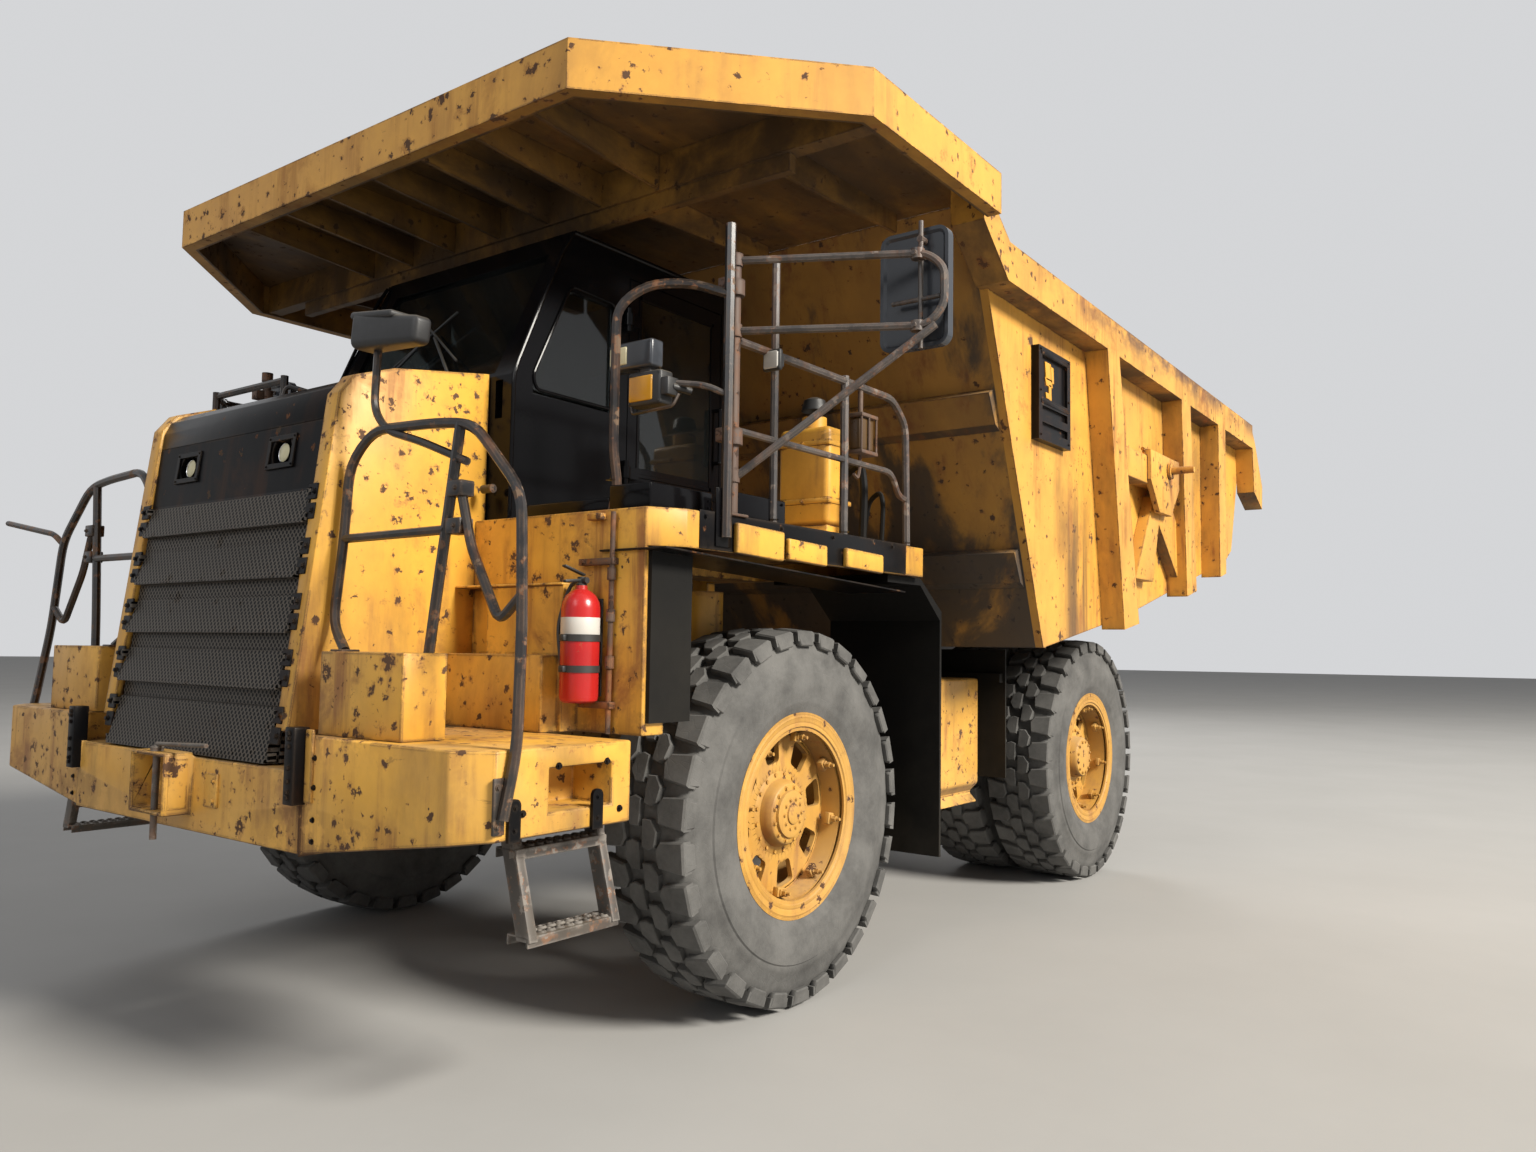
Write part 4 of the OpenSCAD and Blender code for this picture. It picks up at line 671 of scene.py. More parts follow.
def tube(name, points, radius, body, paint, bend=0.06, sides=12):
    """A bent tube: a round bevelled curve with rounded corners, made a mesh."""
    data = bpy.data.curves.new(name, "CURVE")
    data.dimensions = "3D"
    data.bevel_depth = radius
    data.bevel_resolution = max(1, sides // 4 - 1)
    data.use_fill_caps = True
    path = [Vector(p) for p in points]
    smooth = [path[0]]
    for before, corner, after in zip(path, path[1:], path[2:]):
        one, two = before - corner, after - corner
        reach = min(bend, one.length * 0.45, two.length * 0.45)
        a, b = corner + one.normalized() * reach, corner + two.normalized() * reach
        smooth += [a.lerp(corner, t).lerp(corner.lerp(b, t), t)
                   for t in (0, 0.25, 0.5, 0.75, 1)]
    smooth.append(path[-1])
    line = data.splines.new("POLY")
    line.points.add(len(smooth) - 1)
    for point, at in zip(line.points, smooth):
        point.co = (*at, 1)
    made = bpy.data.objects.new(name, data)
    bpy.context.scene.collection.objects.link(made)
    mesh = bpy.data.meshes.new_from_object(
        made.evaluated_get(bpy.context.evaluated_depsgraph_get()))
    bpy.data.objects.remove(made)
    mesh.name = name
    return settled(bpy.data.objects.new(name, mesh), body, paint)


# %% [markdown]
# The last helpers turn a bmesh into a finished object: doubles merged, normals outward,
# smooth faces that stay sharp at real corners, a finish and a body to ride on.


def settled(piece, body, *paints):
    """Gives a piece its finish, rounds its shading and makes it ride on a body."""
    if piece.name not in bpy.context.scene.collection.objects:
        bpy.context.scene.collection.objects.link(piece)
    piece.data.materials.clear()
    for paint in paints:
        piece.data.materials.append(finish[paint])
    piece.data.polygons.foreach_set("use_smooth", [True] * len(piece.data.polygons))
    piece.data.set_sharp_from_angle(angle=math.radians(38))
    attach(piece, body)
    return piece


def finished(bm, name, body, *paints, merge=1e-5):
    """Closes a bmesh into a piece: doubles merged, normals outward."""
    bmesh.ops.remove_doubles(bm, verts=bm.verts, dist=merge)
    bmesh.ops.recalc_face_normals(bm, faces=bm.faces)
    mesh = bpy.data.meshes.new(name)
    bm.to_mesh(mesh)
    bm.free()
    piece = settled(bpy.data.objects.new(name, mesh), body, *paints)
    print(name, len(mesh.polygons), "faces on", body)
    return piece


def joined(bm, tool):
    """Adds one bmesh to another and frees it."""
    mesh = bpy.data.meshes.new("tool")
    tool.to_mesh(mesh)
    tool.free()
    bm.from_mesh(mesh)
    bpy.data.meshes.remove(mesh)


# %% [markdown]
# Pressed and welded sheet never has a razor edge. The big panels get a copy of their CAD
# mesh with every sharp edge rounded by a few millimetres, outside corners and weld
# corners alike, so light runs along them.

# %% Softened panels
body_of = {node: body for body, members in frame["record"]["behaviour"]["bodies"].items()
           for node in members}


def softened(name, width, segments=2):
    """A copy of a CAD node with rounded edges, which stands in its place."""
    bm = bmesh.new()
    bm.from_mesh(nodes[name].data)
    bmesh.ops.remove_doubles(bm, verts=bm.verts, dist=2e-4)
    bmesh.ops.dissolve_limit(bm, angle_limit=math.radians(1.5), verts=bm.verts,
                             edges=bm.edges)
    sharp = [e for e in bm.edges if len(e.link_faces) == 2
             and e.calc_face_angle(0) > math.radians(22)]
    bevelled(bm, sharp, width, segments, clamp_overlap=False)
    piece = finished(bm, "soft_" + name, body_of[name], slots[name], merge=1e-4)
    piece.data.materials.clear()
    piece.data.materials.append(finish[own.get(name, slots[name])])
    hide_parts(name)


for name, width in (("front_bumper", 0.009), ("hood", 0.004), ("hood_top_sheet", 0.004),
                    ("deck_left", 0.005), ("deck_right", 0.005),
                    ("fuel_tank", 0.02), ("hydraulic_tank", 0.02)):
    softened(name, width)

# %% [markdown]
# The front of the hood leans back a little. Each louvre ends in a bolted tab on the
# yellow flange, so one tab is made flat, leaned, and set along the face.

# %% Louvre tabs
slope = 0.1192
lean = math.atan(slope)


def face_x(z):
    """How far forward the leaning front of the hood is at a height."""
    return axle_x + 2.124 - (z - 1.374) * slope


bm = bmesh.new()
louvres, louvre_low, louvre_high = 5, 1.24, 2.37
louvre_pitch = (louvre_high - louvre_low) / louvres
for side in (1, -1):
    for i in range(louvres):
        for k in (0.5, 0.86):
            z = louvre_low + (i + k) * louvre_pitch
            made = box(bm, (-0.004, -0.034, -0.034), (0.006, 0.034, 0.034), 0.0035, 1)
            bolts = bmesh.new()
            bolt(bolts, (0.005, 0.008 * side, 0), (1, 0, 0), 0.015)
            rotate(bolts, bolts.verts, -lean, "Y")
            moved(bolts, bolts.verts, (face_x(z), 0.728 * side, z))
            rotate(bm, made, -lean, "Y")
            moved(bm, made, (face_x(z), 0.722 * side, z))
            joined(bm, bolts)
finished(bm, "louvre_tabs", "chassis", "black_paint")

# %% [markdown]
# A headlamp pocket is a bolted frame around four thin walls and a back. The reflector and
# the ribbed lens are spun about the X axis, then leaned back with the panel.

# %% Headlamps
lamp_z, lamp_y = 2.537, 0.404
for word, side in both_sides:
    bm = bmesh.new()
    wide, high = 0.084, 0.050
    for low, top in (((-0.004, -0.108, high), (0.005, 0.108, 0.074)),
                     ((-0.004, -0.108, -0.074), (0.005, 0.108, -high)),
                     ((-0.004, wide, -high - 0.004), (0.005, 0.108, high + 0.004)),
                     ((-0.004, -0.108, -high - 0.004), (0.005, -wide, high + 0.004))):
        box(bm, low, top, 0.002, 1)
    for y in (-wide - 0.002, wide + 0.002):
        box(bm, (-0.075, y - 0.002, -high), (0.0, y + 0.002, high))
    for z in (-high - 0.002, high + 0.002):
        box(bm, (-0.075, -wide, z - 0.002), (0.0, wide, z + 0.002))
    box(bm, (-0.079, -wide, -high), (-0.075, wide, high))
    for y in (-0.096, 0.096):
        for z in (-0.062, 0.062):
            bolt(bm, (0.005, y, z), (1, 0, 0), 0.006)
    rotate(bm, bm.verts, -lean, "Y")
    at = (face_x(lamp_z) - 0.010, lamp_y * side, lamp_z)
    moved(bm, bm.verts, at)
    finished(bm, word + "_lamp_pocket", "chassis", "black_paint")
    for label, paint, profile in (
            ("reflector", "rod_chrome", [(-0.030, 0.001), (-0.026, 0.018), (-0.012, 0.033),
                                         (0.0, 0.040), (0.002, 0.042), (-0.03, 0.043)]),
            ("lens", "pale_lens", [(0.010, 0.001), (0.008, 0.02), (0.001, 0.0395),
                                    (-0.001, 0.0395), (0.006, 0.02), (0.008, 0.001)])):
        bm = bmesh.new()
        revolved(bm, [(a - 0.015, 0, r) for a, r in profile], (0, 0, 0), (1, 0, 0), 28)
        rotate(bm, bm.verts, -lean, "Y")
        moved(bm, bm.verts, at)
        piece = finished(bm, word + "_headlamp_" + label, "chassis", paint)
        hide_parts("headlamps")

# %% [markdown]
# The bumper is bolted together: black end brackets beside the middle section, a bolted
# seam, and small plates by the tow box.

# %% Bumper fittings
bm = bmesh.new()
front = axle_x + 2.16
for side in (1, -1):
    for z in (1.14, 1.20, 1.33, 1.38):
        bolt(bm, (front + 0.040, 0.95 * side, z), (1, 0, 0), 0.014)
    for z in (0.98, 1.06, 1.18, 1.29):
        bolt(bm, (front - 0.015, 1.035 * side, z), (1, 0, 0), 0.012)
    for x, z in ((4.07, 1.30), (3.83, 1.30), (4.23, 1.15), (3.76, 1.12)):
        bolt(bm, (x, 1.95 * side, z), (0, side, 0), 0.014)
finished(bm, "bumper_bolts", "chassis", "black_paint")
bm = bmesh.new()
box(bm, (front - 0.002, 0.27, 1.04), (front + 0.012, 0.37, 1.18), 0.004)
for z in (1.07, 1.15):
    bolt(bm, (front + 0.012, 0.35, z), (1, 0, 0), 0.012)
for side in (1, -1):
    sided(bm, side, (front - 0.016, 0.981, 1.12), (front - 0.004, 1.029, 1.395), 0.004)
    sided(bm, side, (front + 0.02, 0.141, 1.02), (front + 0.10, 0.153, 1.23), 0.004)
finished(bm, "bumper_plates", "chassis", "yellow_paint")
bm = bmesh.new()
for side in (1, -1):
    sided(bm, side, (front - 0.022, 0.918, 1.112), (front + 0.0425, 0.982, 1.403), 0.004)
    for z in (1.16, 1.25, 1.36):
        bolt(bm, (front + 0.0425, 0.95 * side, z), (1, 0, 0), 0.012)
    for x in (3.885, 4.275):
        ear = sided(bm, side, (x - 0.026, 1.951, 1.06), (x + 0.026, 1.965, 1.205))
        upper = [e for e in bm.edges if e.is_valid and all(
            v in ear and v.co.z > 1.2 for v in e.verts) and
            abs(e.verts[0].co.y - e.verts[1].co.y) > 0.01]
        bevelled(bm, upper, 0.024, 5)
        for z in (1.175, 1.10):
            bolt(bm, (x, 1.965 * side, z), (0, side, 0), 0.009)
finished(bm, "bumper_brackets", "chassis", "black_paint")

# %% [markdown]
# The extinguisher is a turned steel bottle with a white band, a valve with a squeeze
# lever and gauge, a short stiff hose, and two black straps on a bracket.

# %% Fire extinguisher
bottle = Vector((axle_x + 1.345, 1.6, 1.5))


def by_bottle(x, y, z):
    return bottle + Vector((x, y, z))


bm = bmesh.new()
turned(bm, [(0.001, -0.004), (0.062, -0.004), (0.074, 0.004), (0.0785, 0.02),
            (0.079, 0.20), (0.079, 0.375), (0.075, 0.402), (0.062, 0.428),
            (0.040, 0.447), (0.026, 0.454), (0.024, 0.470), (0.001, 0.470)], bottle)
piece = finished(bm, "extinguisher_bottle", "chassis", "red_paint")
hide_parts("fire_extinguisher")
bm = bmesh.new()
turned(bm, [(0.0788, 0.262), (0.0796, 0.264), (0.0796, 0.338), (0.0788, 0.340)], bottle)
finished(bm, "extinguisher_band", "chassis", "white_band")
bm = bmesh.new()
turned(bm, [(0.001, 0.466), (0.024, 0.466), (0.024, 0.476), (0.017, 0.480),
            (0.017, 0.505), (0.001, 0.507)], bottle, 20)
lever = box(bm, (-0.012, -0.012, 0.0), (0.105, 0.012, 0.010), 0.004)
rotate(bm, lever, math.radians(-16), "Y")
moved(bm, lever, by_bottle(0, 0, 0.512))
grip = box(bm, (-0.012, -0.010, 0.0), (0.095, 0.010, 0.012), 0.004)
rotate(bm, grip, math.radians(6), "Y")
moved(bm, grip, by_bottle(0, 0, 0.487))
rod(bm, by_bottle(0, 0.016, 0.490), by_bottle(0, 0.034, 0.490), 0.013, 14)
for z in (0.118, 0.243):
    turned(bm, [(0.080, z), (0.0825, z), (0.0825, z + 0.028), (0.080, z + 0.028)], bottle)
    box(bm, by_bottle(-0.094, -0.03, z - 0.004), by_bottle(-0.070, 0.03, z + 0.032), 0.003)
    box(bm, by_bottle(0.080, -0.02, z + 0.002), by_bottle(0.098, 0.008, z + 0.026), 0.003)
box(bm, by_bottle(-0.0945, -0.035, 0.02), by_bottle(-0.084, 0.035, 0.42), 0.002)
finished(bm, "extinguisher_valve_and_straps", "chassis", "black_plastic")
tube("extinguisher_hose", [by_bottle(*v) for v in (
    (-0.01, -0.012, 0.49), (-0.02, -0.075, 0.485), (-0.01, -0.105, 0.42),
    (0.02, -0.112, 0.30), (0.02, -0.096, 0.20), (0.015, -0.088, 0.14))], 0.0085,
     "chassis", "black_plastic", 0.05, 8)

# %% [markdown]
# The grab rails in front are bent tubes: a post, a loop from the step box over the top and
# down outside the bumper, a cross bar, a short brace with a clamp, and a thin stalk with a
# hooded mirror on the left.

# %% Front grab rails
rail = 0.0205
grab_rails = [
    ("post", rail, 0.2, [(4.237, 1.368, 1.372), (4.225, 1.41, 1.75),
                         (4.21, 1.525, 2.555)]),
    ("loop", rail, 0.09, [
        (4.31, 0.99, 1.692), (4.27, 0.838, 1.80), (4.25, 0.858, 2.14),
        (4.23, 0.849, 2.448), (4.22, 0.99, 2.578), (4.21, 1.387, 2.565),
        (4.21, 1.60, 2.54), (4.22, 1.888, 2.263), (4.24, 1.931, 1.79),
        (4.285, 1.975, 1.37), (4.335, 1.972, 1.14)]),
    ("bar", rail * 0.9, 0.06, [(4.25, 0.858, 2.142), (4.222, 1.47, 2.15)]),
    ("brace", rail * 0.9, 0.05, [(4.215, 1.545, 2.30), (4.22, 1.62, 2.08),
                                 (4.23, 1.80, 1.805), (4.237, 1.925, 1.90)])]
for word, side in both_sides:
    for label, radius, bend, points in grab_rails:
        piece = tube(word + "_grab_" + label, [(x, y * side, z) for x, y, z in points],
                     radius, "chassis", "rail_paint", bend)
        if label == "post":
            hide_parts("front_handrails")
    bm = bmesh.new()
    sided(bm, side, (4.315, 1.949, 1.09), (4.365, 1.961, 1.28), 0.004)
    sided(bm, side, (4.19, 1.323, 1.368), (4.28, 1.413, 1.380), 0.004)
    sided(bm, side, (4.27, 0.95, 1.688), (4.35, 1.03, 1.698), 0.004)
    for z in (1.12, 1.25):
        bolt(bm, (4.35, 1.961 * side, z), (0, side, 0), 0.011)
    for z in (2.30, 2.16):
        box(bm, (4.18, 1.53 * side - 0.035, z - 0.03),
            (4.245, 1.53 * side + 0.05, z + 0.03), 0.006)
        bolt(bm, (4.245, 1.545 * side, z), (1, 0, 0), 0.011)
    rod(bm, (3.56, 0.86 * side, 2.43), (3.56, 0.93 * side, 2.43), 0.02)
    finished(bm, word + "_grab_rail_feet", "chassis", "rail_paint")

# %% [markdown]
# A thin arm leaves the right rail, and a stalk on the left rail carries a small mirror in
# a deep hood. The hood is a well rounded box that narrows towards its outer end, with a
# lip over its upper edge.

# %% Rail arm and hooded mirror
tube("right_rail_arm", [(4.22, -1.90, 2.25), (4.235, -1.98, 2.305), (4.24, -2.10, 2.323),
                        (4.24, -2.62, 2.40)], 0.016, "chassis", "rail_paint", 0.05)
tube("mirror_stalk", [(4.21, 1.57, 2.40), (4.215, 1.30, 2.50), (4.22, 1.078, 2.565),
                      (4.22, 0.985, 2.66), (4.22, 1.0, 2.96)], 0.016, "chassis",
     "rail_paint", 0.08)
bm = bmesh.new()
made = box(bm, (-0.055, -0.20, -0.065), (0.055, 0.20, 0.065), 0.028, 4)
for v in made:
    v.co.x *= 1.0 - 0.25 * (v.co.y / 0.2)
    v.co.z *= 1.0 - 0.18 * (v.co.y / 0.2)
box(bm, (-0.075, -0.215, 0.045), (0.062, 0.06, 0.075), 0.012, 3)
rotate(bm, bm.verts, math.radians(-7), "X")
moved(bm, bm.verts, (4.235, 1.115, 2.955))
finished(bm, "hooded_front_mirror", "chassis", "black_plastic")

# %% [markdown]
# The outside mirrors hang between two tubes that bend into one hoop, held up by a long
# brace. Their posts are rusty, with clamps, and each mirror has a rod, clamps and a short
# crossbar in front of its rounded shell.

# %% Outside mirrors
arm_low, arm_high = 3.11, 3.425
for word, side in both_sides:
    post_x, post_y, mirror_y = 3.075, 1.92 * side, 2.62 * side
    hoop = tube(word + "_mirror_hoop", [
        (post_x, post_y, arm_high), (2.69, 2.66 * side, arm_high),
        (2.665, 2.730 * side, 3.36), (2.665, 2.730 * side, 3.19),
        (2.69, 2.66 * side, arm_low), (post_x, post_y, arm_low)],
        0.018, "chassis", "worn_tube", 0.075)
    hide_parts("mirrors")
    tube(word + "_mirror_brace", [(3.07, 1.925 * side, 2.46), (2.685, 2.70 * side, 3.11)],
         0.018, "chassis", "worn_tube")
    bm = bmesh.new()
    rod(bm, (post_x, post_y, 2.29), (post_x, post_y, 3.445), 0.027, 20)
    for z in (2.64, 3.30):
        rod(bm, (post_x, post_y, z - 0.035), (post_x, post_y, z + 0.035), 0.044, 16)
        sided(bm, side, (3.06, 1.89, z - 0.03), (3.16, 1.95, z + 0.03), 0.005)
        bolt(bm, (3.13, 1.95 * side, z), (0, side, 0), 0.012)
    for z in (2.47, arm_low, arm_high):
        rod(bm, (post_x, post_y, z - 0.028), (post_x, post_y, z + 0.028), 0.034, 16)
    sided(bm, side, (3.015, 1.87, 2.291), (3.135, 1.97, 2.303), 0.004)
    finished(bm, word + "_mirror_post", "chassis", "rusty_tube")
    bm = bmesh.new()
    sided(bm, side, (2.594, 2.40, 3.035), (2.640, 2.735, 3.56))
    corners = [e for e in bm.edges if abs(e.verts[0].co.x - e.verts[1].co.x) > 0.02]
    bevelled(bm, corners, 0.05, 6)
    front_faces = [f for f in bm.faces if f.normal.x > 0.9]
    bmesh.ops.inset_region(bm, faces=front_faces, thickness=0.016, depth=0.0)
    bmesh.ops.inset_region(bm, faces=[f for f in front_faces if f.is_valid],
                           thickness=0.012, depth=-0.010)
    finished(bm, word + "_mirror_shell", "chassis", "mirror_shell")
    bm = bmesh.new()
    sided(bm, side, (2.589, 2.42 if side > 0 else 2.485, 3.07), (2.594, 2.715, 3.53), 0.002)
    finished(bm, word + "_mirror_glass", "chassis", "rod_chrome")
    bm = bmesh.new()
    rod(bm, (2.672, mirror_y, 3.02), (2.672, mirror_y, 3.58), 0.011)
    rod(bm, (2.672, 2.48 * side, 3.235), (2.672, 2.715 * side, 3.235), 0.010)
    for z in (arm_low, arm_high):
        rod(bm, (2.70, mirror_y, z - 0.022), (2.70, mirror_y, z + 0.022), 0.030, 12)
        rod(bm, (2.64, mirror_y, z), (2.74, mirror_y, z), 0.012, 8)
    for z in (3.10, 3.50):
        rod(bm, (2.635, mirror_y, z), (2.685, mirror_y, z), 0.015, 10)
    finished(bm, word + "_mirror_rod", "chassis", "worn_tube")

# %% [markdown]
# Two work lamps share one bracket on the left posts, a caged lantern hangs further back,
# a white marker lamp sits on the third post, and one more lamp stands on the right.

# %% Work lamps
def lamp_box(name, low, high, lens_paint, lens_low, lens_high, paint="black_plastic",
             ribs=5):
    """A rounded body with cooling ribs behind and a lens, [y, z] to [y, z], in front."""
    bm = bmesh.new()
    low, high = Vector(low), Vector(high)
    box(bm, low, high, 0.012, 3)
    step = (high.y - low.y) / ribs
    for i in range(ribs):
        y = low.y + (i + 0.5) * step
        box(bm, (low.x - 0.014, y - 0.004, low.z + 0.02),
            (low.x + 0.01, y + 0.004, high.z - 0.02), 0.002, 1)
    for y in (low.y + 0.012, high.y - 0.012):
        bolt(bm, (high.x - 0.001, y, high.z - 0.014), (1, 0, 0), 0.006)
        bolt(bm, (high.x - 0.001, y, low.z + 0.014), (1, 0, 0), 0.006)
    piece = finished(bm, name, "chassis", paint)
    bm = bmesh.new()
    box(bm, (high.x - 0.006, *lens_low), (high.x + 0.006, *lens_high), 0.006, 3)
    finished(bm, name + "_lens", "chassis", lens_paint)
    return piece


first = lamp_box("lower_work_lamp", (3.26, 1.545, 2.765), (3.345, 1.735, 2.915),
                 "amber_lens", (1.555, 2.785), (1.690, 2.895))
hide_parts("work_lamps")
lamp_box("upper_work_lamp", (3.275, 1.435, 2.935), (3.355, 1.69, 3.055), "pale_lens",
         (1.445, 2.955), (1.545, 3.035), "mirror_shell")
lamp_box("right_work_lamp", (3.52, -1.05, 2.78), (3.63, -0.81, 2.90), "pale_lens",
         (-1.04, 2.79), (-0.82, 2.89))
lamp_box("marker_lamp", (2.80, 1.89, 2.985), (2.83, 1.99, 3.085), "white_band",
         (1.90, 2.995), (1.98, 3.075))
bm = bmesh.new()
box(bm, (3.27, 1.715, 2.80), (3.34, 1.775, 2.88), 0.008)
box(bm, (3.285, 1.60, 2.905), (3.33, 1.66, 2.945), 0.004)
rod(bm, (3.30, 1.765, 2.84), (3.22, 1.80, 2.83), 0.016)
finished(bm, "work_lamp_bracket", "chassis", "black_plastic")
tube("work_lamp_arm", [(3.18, 1.975, 2.80), (3.24, 1.90, 2.84), (3.28, 1.76, 2.86)], 0.014,
     "chassis", "worn_tube", 0.05)
tube("work_lamp_guard", [(3.335, 1.56, 2.77), (3.335, 1.565, 2.735), (3.335, 1.80, 2.745),
                         (3.31, 1.81, 2.80)], 0.007, "chassis", "rail_paint", 0.02, 8)

# %% [markdown]
# The lantern is a smoked lens between two plates, in a cage of six thin bars, with a hook
# bent from a bar below it.

# %% Lantern
bm = bmesh.new()
box(bm, (1.91, 1.85, 2.725), (2.07, 1.96, 2.745), 0.004)
box(bm, (1.91, 1.85, 2.915), (2.07, 1.96, 2.935), 0.004)
for x in (1.918, 1.99, 2.062):
    for y in (1.858, 1.952):
        rod(bm, (x, y, 2.73), (x, y, 2.93), 0.006, 8)
rod(bm, (2.0, 1.905, 2.93), (2.0, 1.905, 3.06), 0.014)
tube("lantern_hook", [(2.0, 1.905, 2.725), (2.0, 1.905, 2.66), (2.02, 1.905, 2.60),
                      (2.06, 1.905, 2.62)], 0.009, "chassis", "rusty_tube", 0.03, 8)
finished(bm, "lantern_cage", "chassis", "rusty_tube")
bm = bmesh.new()
box(bm, (1.925, 1.865, 2.745), (2.055, 1.945, 2.915), 0.014, 3)
finished(bm, "lantern_glass", "chassis", "amber_smoke")
tube("right_lamp_arm", [(3.36, -0.552, 3.05), (3.45, -0.62, 3.06), (3.55, -0.86, 3.14),
                        (3.56, -0.90, 2.90)], 0.014, "chassis", "rail_paint", 0.05)

# %% [markdown]
# Each ladder has two leaning flat side bars and two steps whose plates are punched with
# raised rings for grip. A side bar is made upright and then leaned by moving its points.

# %% Ladders
punched_ring = [(0.008, 0.006), (0.010, 0.013), (0.014, 0.013), (0.019, 0.006)]
for word, side in both_sides:
    bm = bmesh.new()
    for x in (3.69, 4.10):
        made = box(bm, (x, -0.036, 0.0), (x + 0.040, 0.036, 1.0), 0.004)
        for v in made:
            v.co.z, v.co.y = (0.688 + v.co.z * 0.36, (v.co.y + 1.868 - v.co.z * 0.105) * side)
    for z, y in ((0.70, 1.838), (0.995, 1.765)):
        y *= side
        box(bm, (3.69, y - 0.055, z), (4.14, y + 0.055, z + 0.006), 0.002, 1)
        for way in (-1, 1):
            edge = y + way * 0.052
            box(bm, (3.69, edge - 0.004, z - 0.032), (4.14, edge + 0.004, z + 0.004),
                0.002, 1)
        for i in range(9):
            for way in (-1, 1):
                turned(bm, punched_ring, (3.735 + i * 0.045, y + way * 0.024, z), 10)
    piece = finished(bm, word + "_step_ladder", "chassis", "bare_steel")
    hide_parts("boarding_ladders")

# %% [markdown]
# The left fender carries a long rusty latch rod on two brackets, and a small lamp sits on
# the deck's edge above it.

# %% Fender fittings
bm = bmesh.new()
rod(bm, (3.572, 1.695, 1.372), (3.572, 1.700, 2.275), 0.011)
for z, y in ((2.072, 1.515), (1.486, 1.53)):
    box(bm, (3.548, y, z - 0.014), (3.585, 1.715, z + 0.014), 0.004)
    bolt(bm, (3.585, y + 0.03, z), (1, 0, 0), 0.013)
for z in (1.66, 1.85, 2.02):
    rod(bm, (3.572, 1.697, z - 0.025), (3.572, 1.697, z + 0.025), 0.019, 12)
finished(bm, "fender_latch_rod", "chassis", "rusty_tube")
bm = bmesh.new()
box(bm, (3.545, 1.555, 2.245), (3.585, 1.64, 2.275), 0.008, 3)
finished(bm, "deck_edge_lamp", "chassis", "yellow_paint")

# %% [markdown]
# The deck's outer side is mostly covered: black plates with yellow pads standing between
# them, and a thin black lip below that slopes back over the wheel. The slope is put in by
# moving the points of a straight box.

# %% Deck sides
for word, side in both_sides:
    bm = bmesh.new()
    box(bm, (1.60, 1.949 * side - 0.004, 2.135), (3.325, 1.949 * side + 0.006, 2.296), 0.002)
    lip = sided(bm, side, (1.53, 1.62, -0.004), (3.57, 1.99, 0.004), 0.002, 1)
    for v in lip:
        v.co.z += 2.118 - (3.57 - v.co.x) * 0.036
        v.co.y -= side * max(0.0, 1.75 - v.co.x) * 0.35
    for x in (1.75, 2.32, 2.75, 3.20, 3.29):
        bolt(bm, (x, 1.955 * side, 2.27), (0, side, 0), 0.012)
    finished(bm, word + "_deck_side_plate", "chassis", "black_paint")
    bm = bmesh.new()
    for low, high, top in ((2.762, 3.107, 2.262), (2.409, 2.725, 2.228),
                           (1.884, 2.235, 2.225)):
        for v in sided(bm, side, (low, 1.955, 2.128), (high, 1.985, top), 0.010, 3):
            v.co.z -= (high - v.co.x) * 0.03
    finished(bm, word + "_deck_side_pads", "chassis", "yellow_paint")

# %% [markdown]
# The rails on the deck are bent tubes, and no two spans are alike, so each is given by
# its points. The right side, which the photograph hides, has the plainer rails of this
# type of truck.

# %% Deck rails
rail_y, deck_top = 1.905, 2.29
piece = tube("tall_left_post", [(3.18, 1.976, 2.19), (3.18, 1.976, 3.545)], 0.024,
             "chassis", "rail_paint")
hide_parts("deck_rails")
tube("third_left_post", [(2.75, rail_y, deck_top), (2.75, rail_y, 3.54)], 0.019, "chassis",
     "worn_tube")
tube("left_front_hoop", [
    (3.48, 1.60, 2.292), (3.47, 1.62, 2.40), (3.48, 1.60, 2.55), (3.48, 1.60, 3.17),
    (3.40, 1.70, 3.27), (3.27, 1.83, 3.29), (3.18, 1.976, 3.235)], 0.021, "chassis",
     "rail_paint", 0.09)
for height, radius, bend_x, foot in ((3.08, 0.021, 1.53, 2.30), (2.68, 0.017, 1.60, 2.55)):
    tube("left_side_rail_" + str(int(height * 100)), [
        (3.03, rail_y, height), (1.68, rail_y, height), (bend_x, rail_y, height - 0.12),
        (1.51, rail_y, foot)], radius, "chassis", "worn_tube", 0.07)
tube("left_rear_post", [(2.15, rail_y, deck_top), (2.15, rail_y, 3.106)], 0.022, "chassis",
     "worn_tube")
for height in (2.68, 3.20):
    tube("right_front_rail_" + str(int(height * 100)), [
        (3.48, -1.00, height), (3.48, -1.755, height), (3.36, -rail_y, height),
        (1.60, -rail_y, height)], 0.021, "chassis", "rail_paint", 0.08)
right_posts = [(3.48, -1.0), (3.48, -1.755), (3.36, -rail_y), (2.60, -rail_y),
               (1.60, -rail_y)]
for i, (x, y) in enumerate(right_posts):
    tube("right_post_" + str(i), [(x, y, deck_top), (x, y, 3.226)], 0.022, "chassis",
         "rail_paint")
print("deck rails with", len(right_posts), "posts on the right")

# %% [markdown]
# Black toe boxes stand at the feet of the left rails, and each post has a round foot
# plate, apart from the tall post, which is bolted to the deck's side.

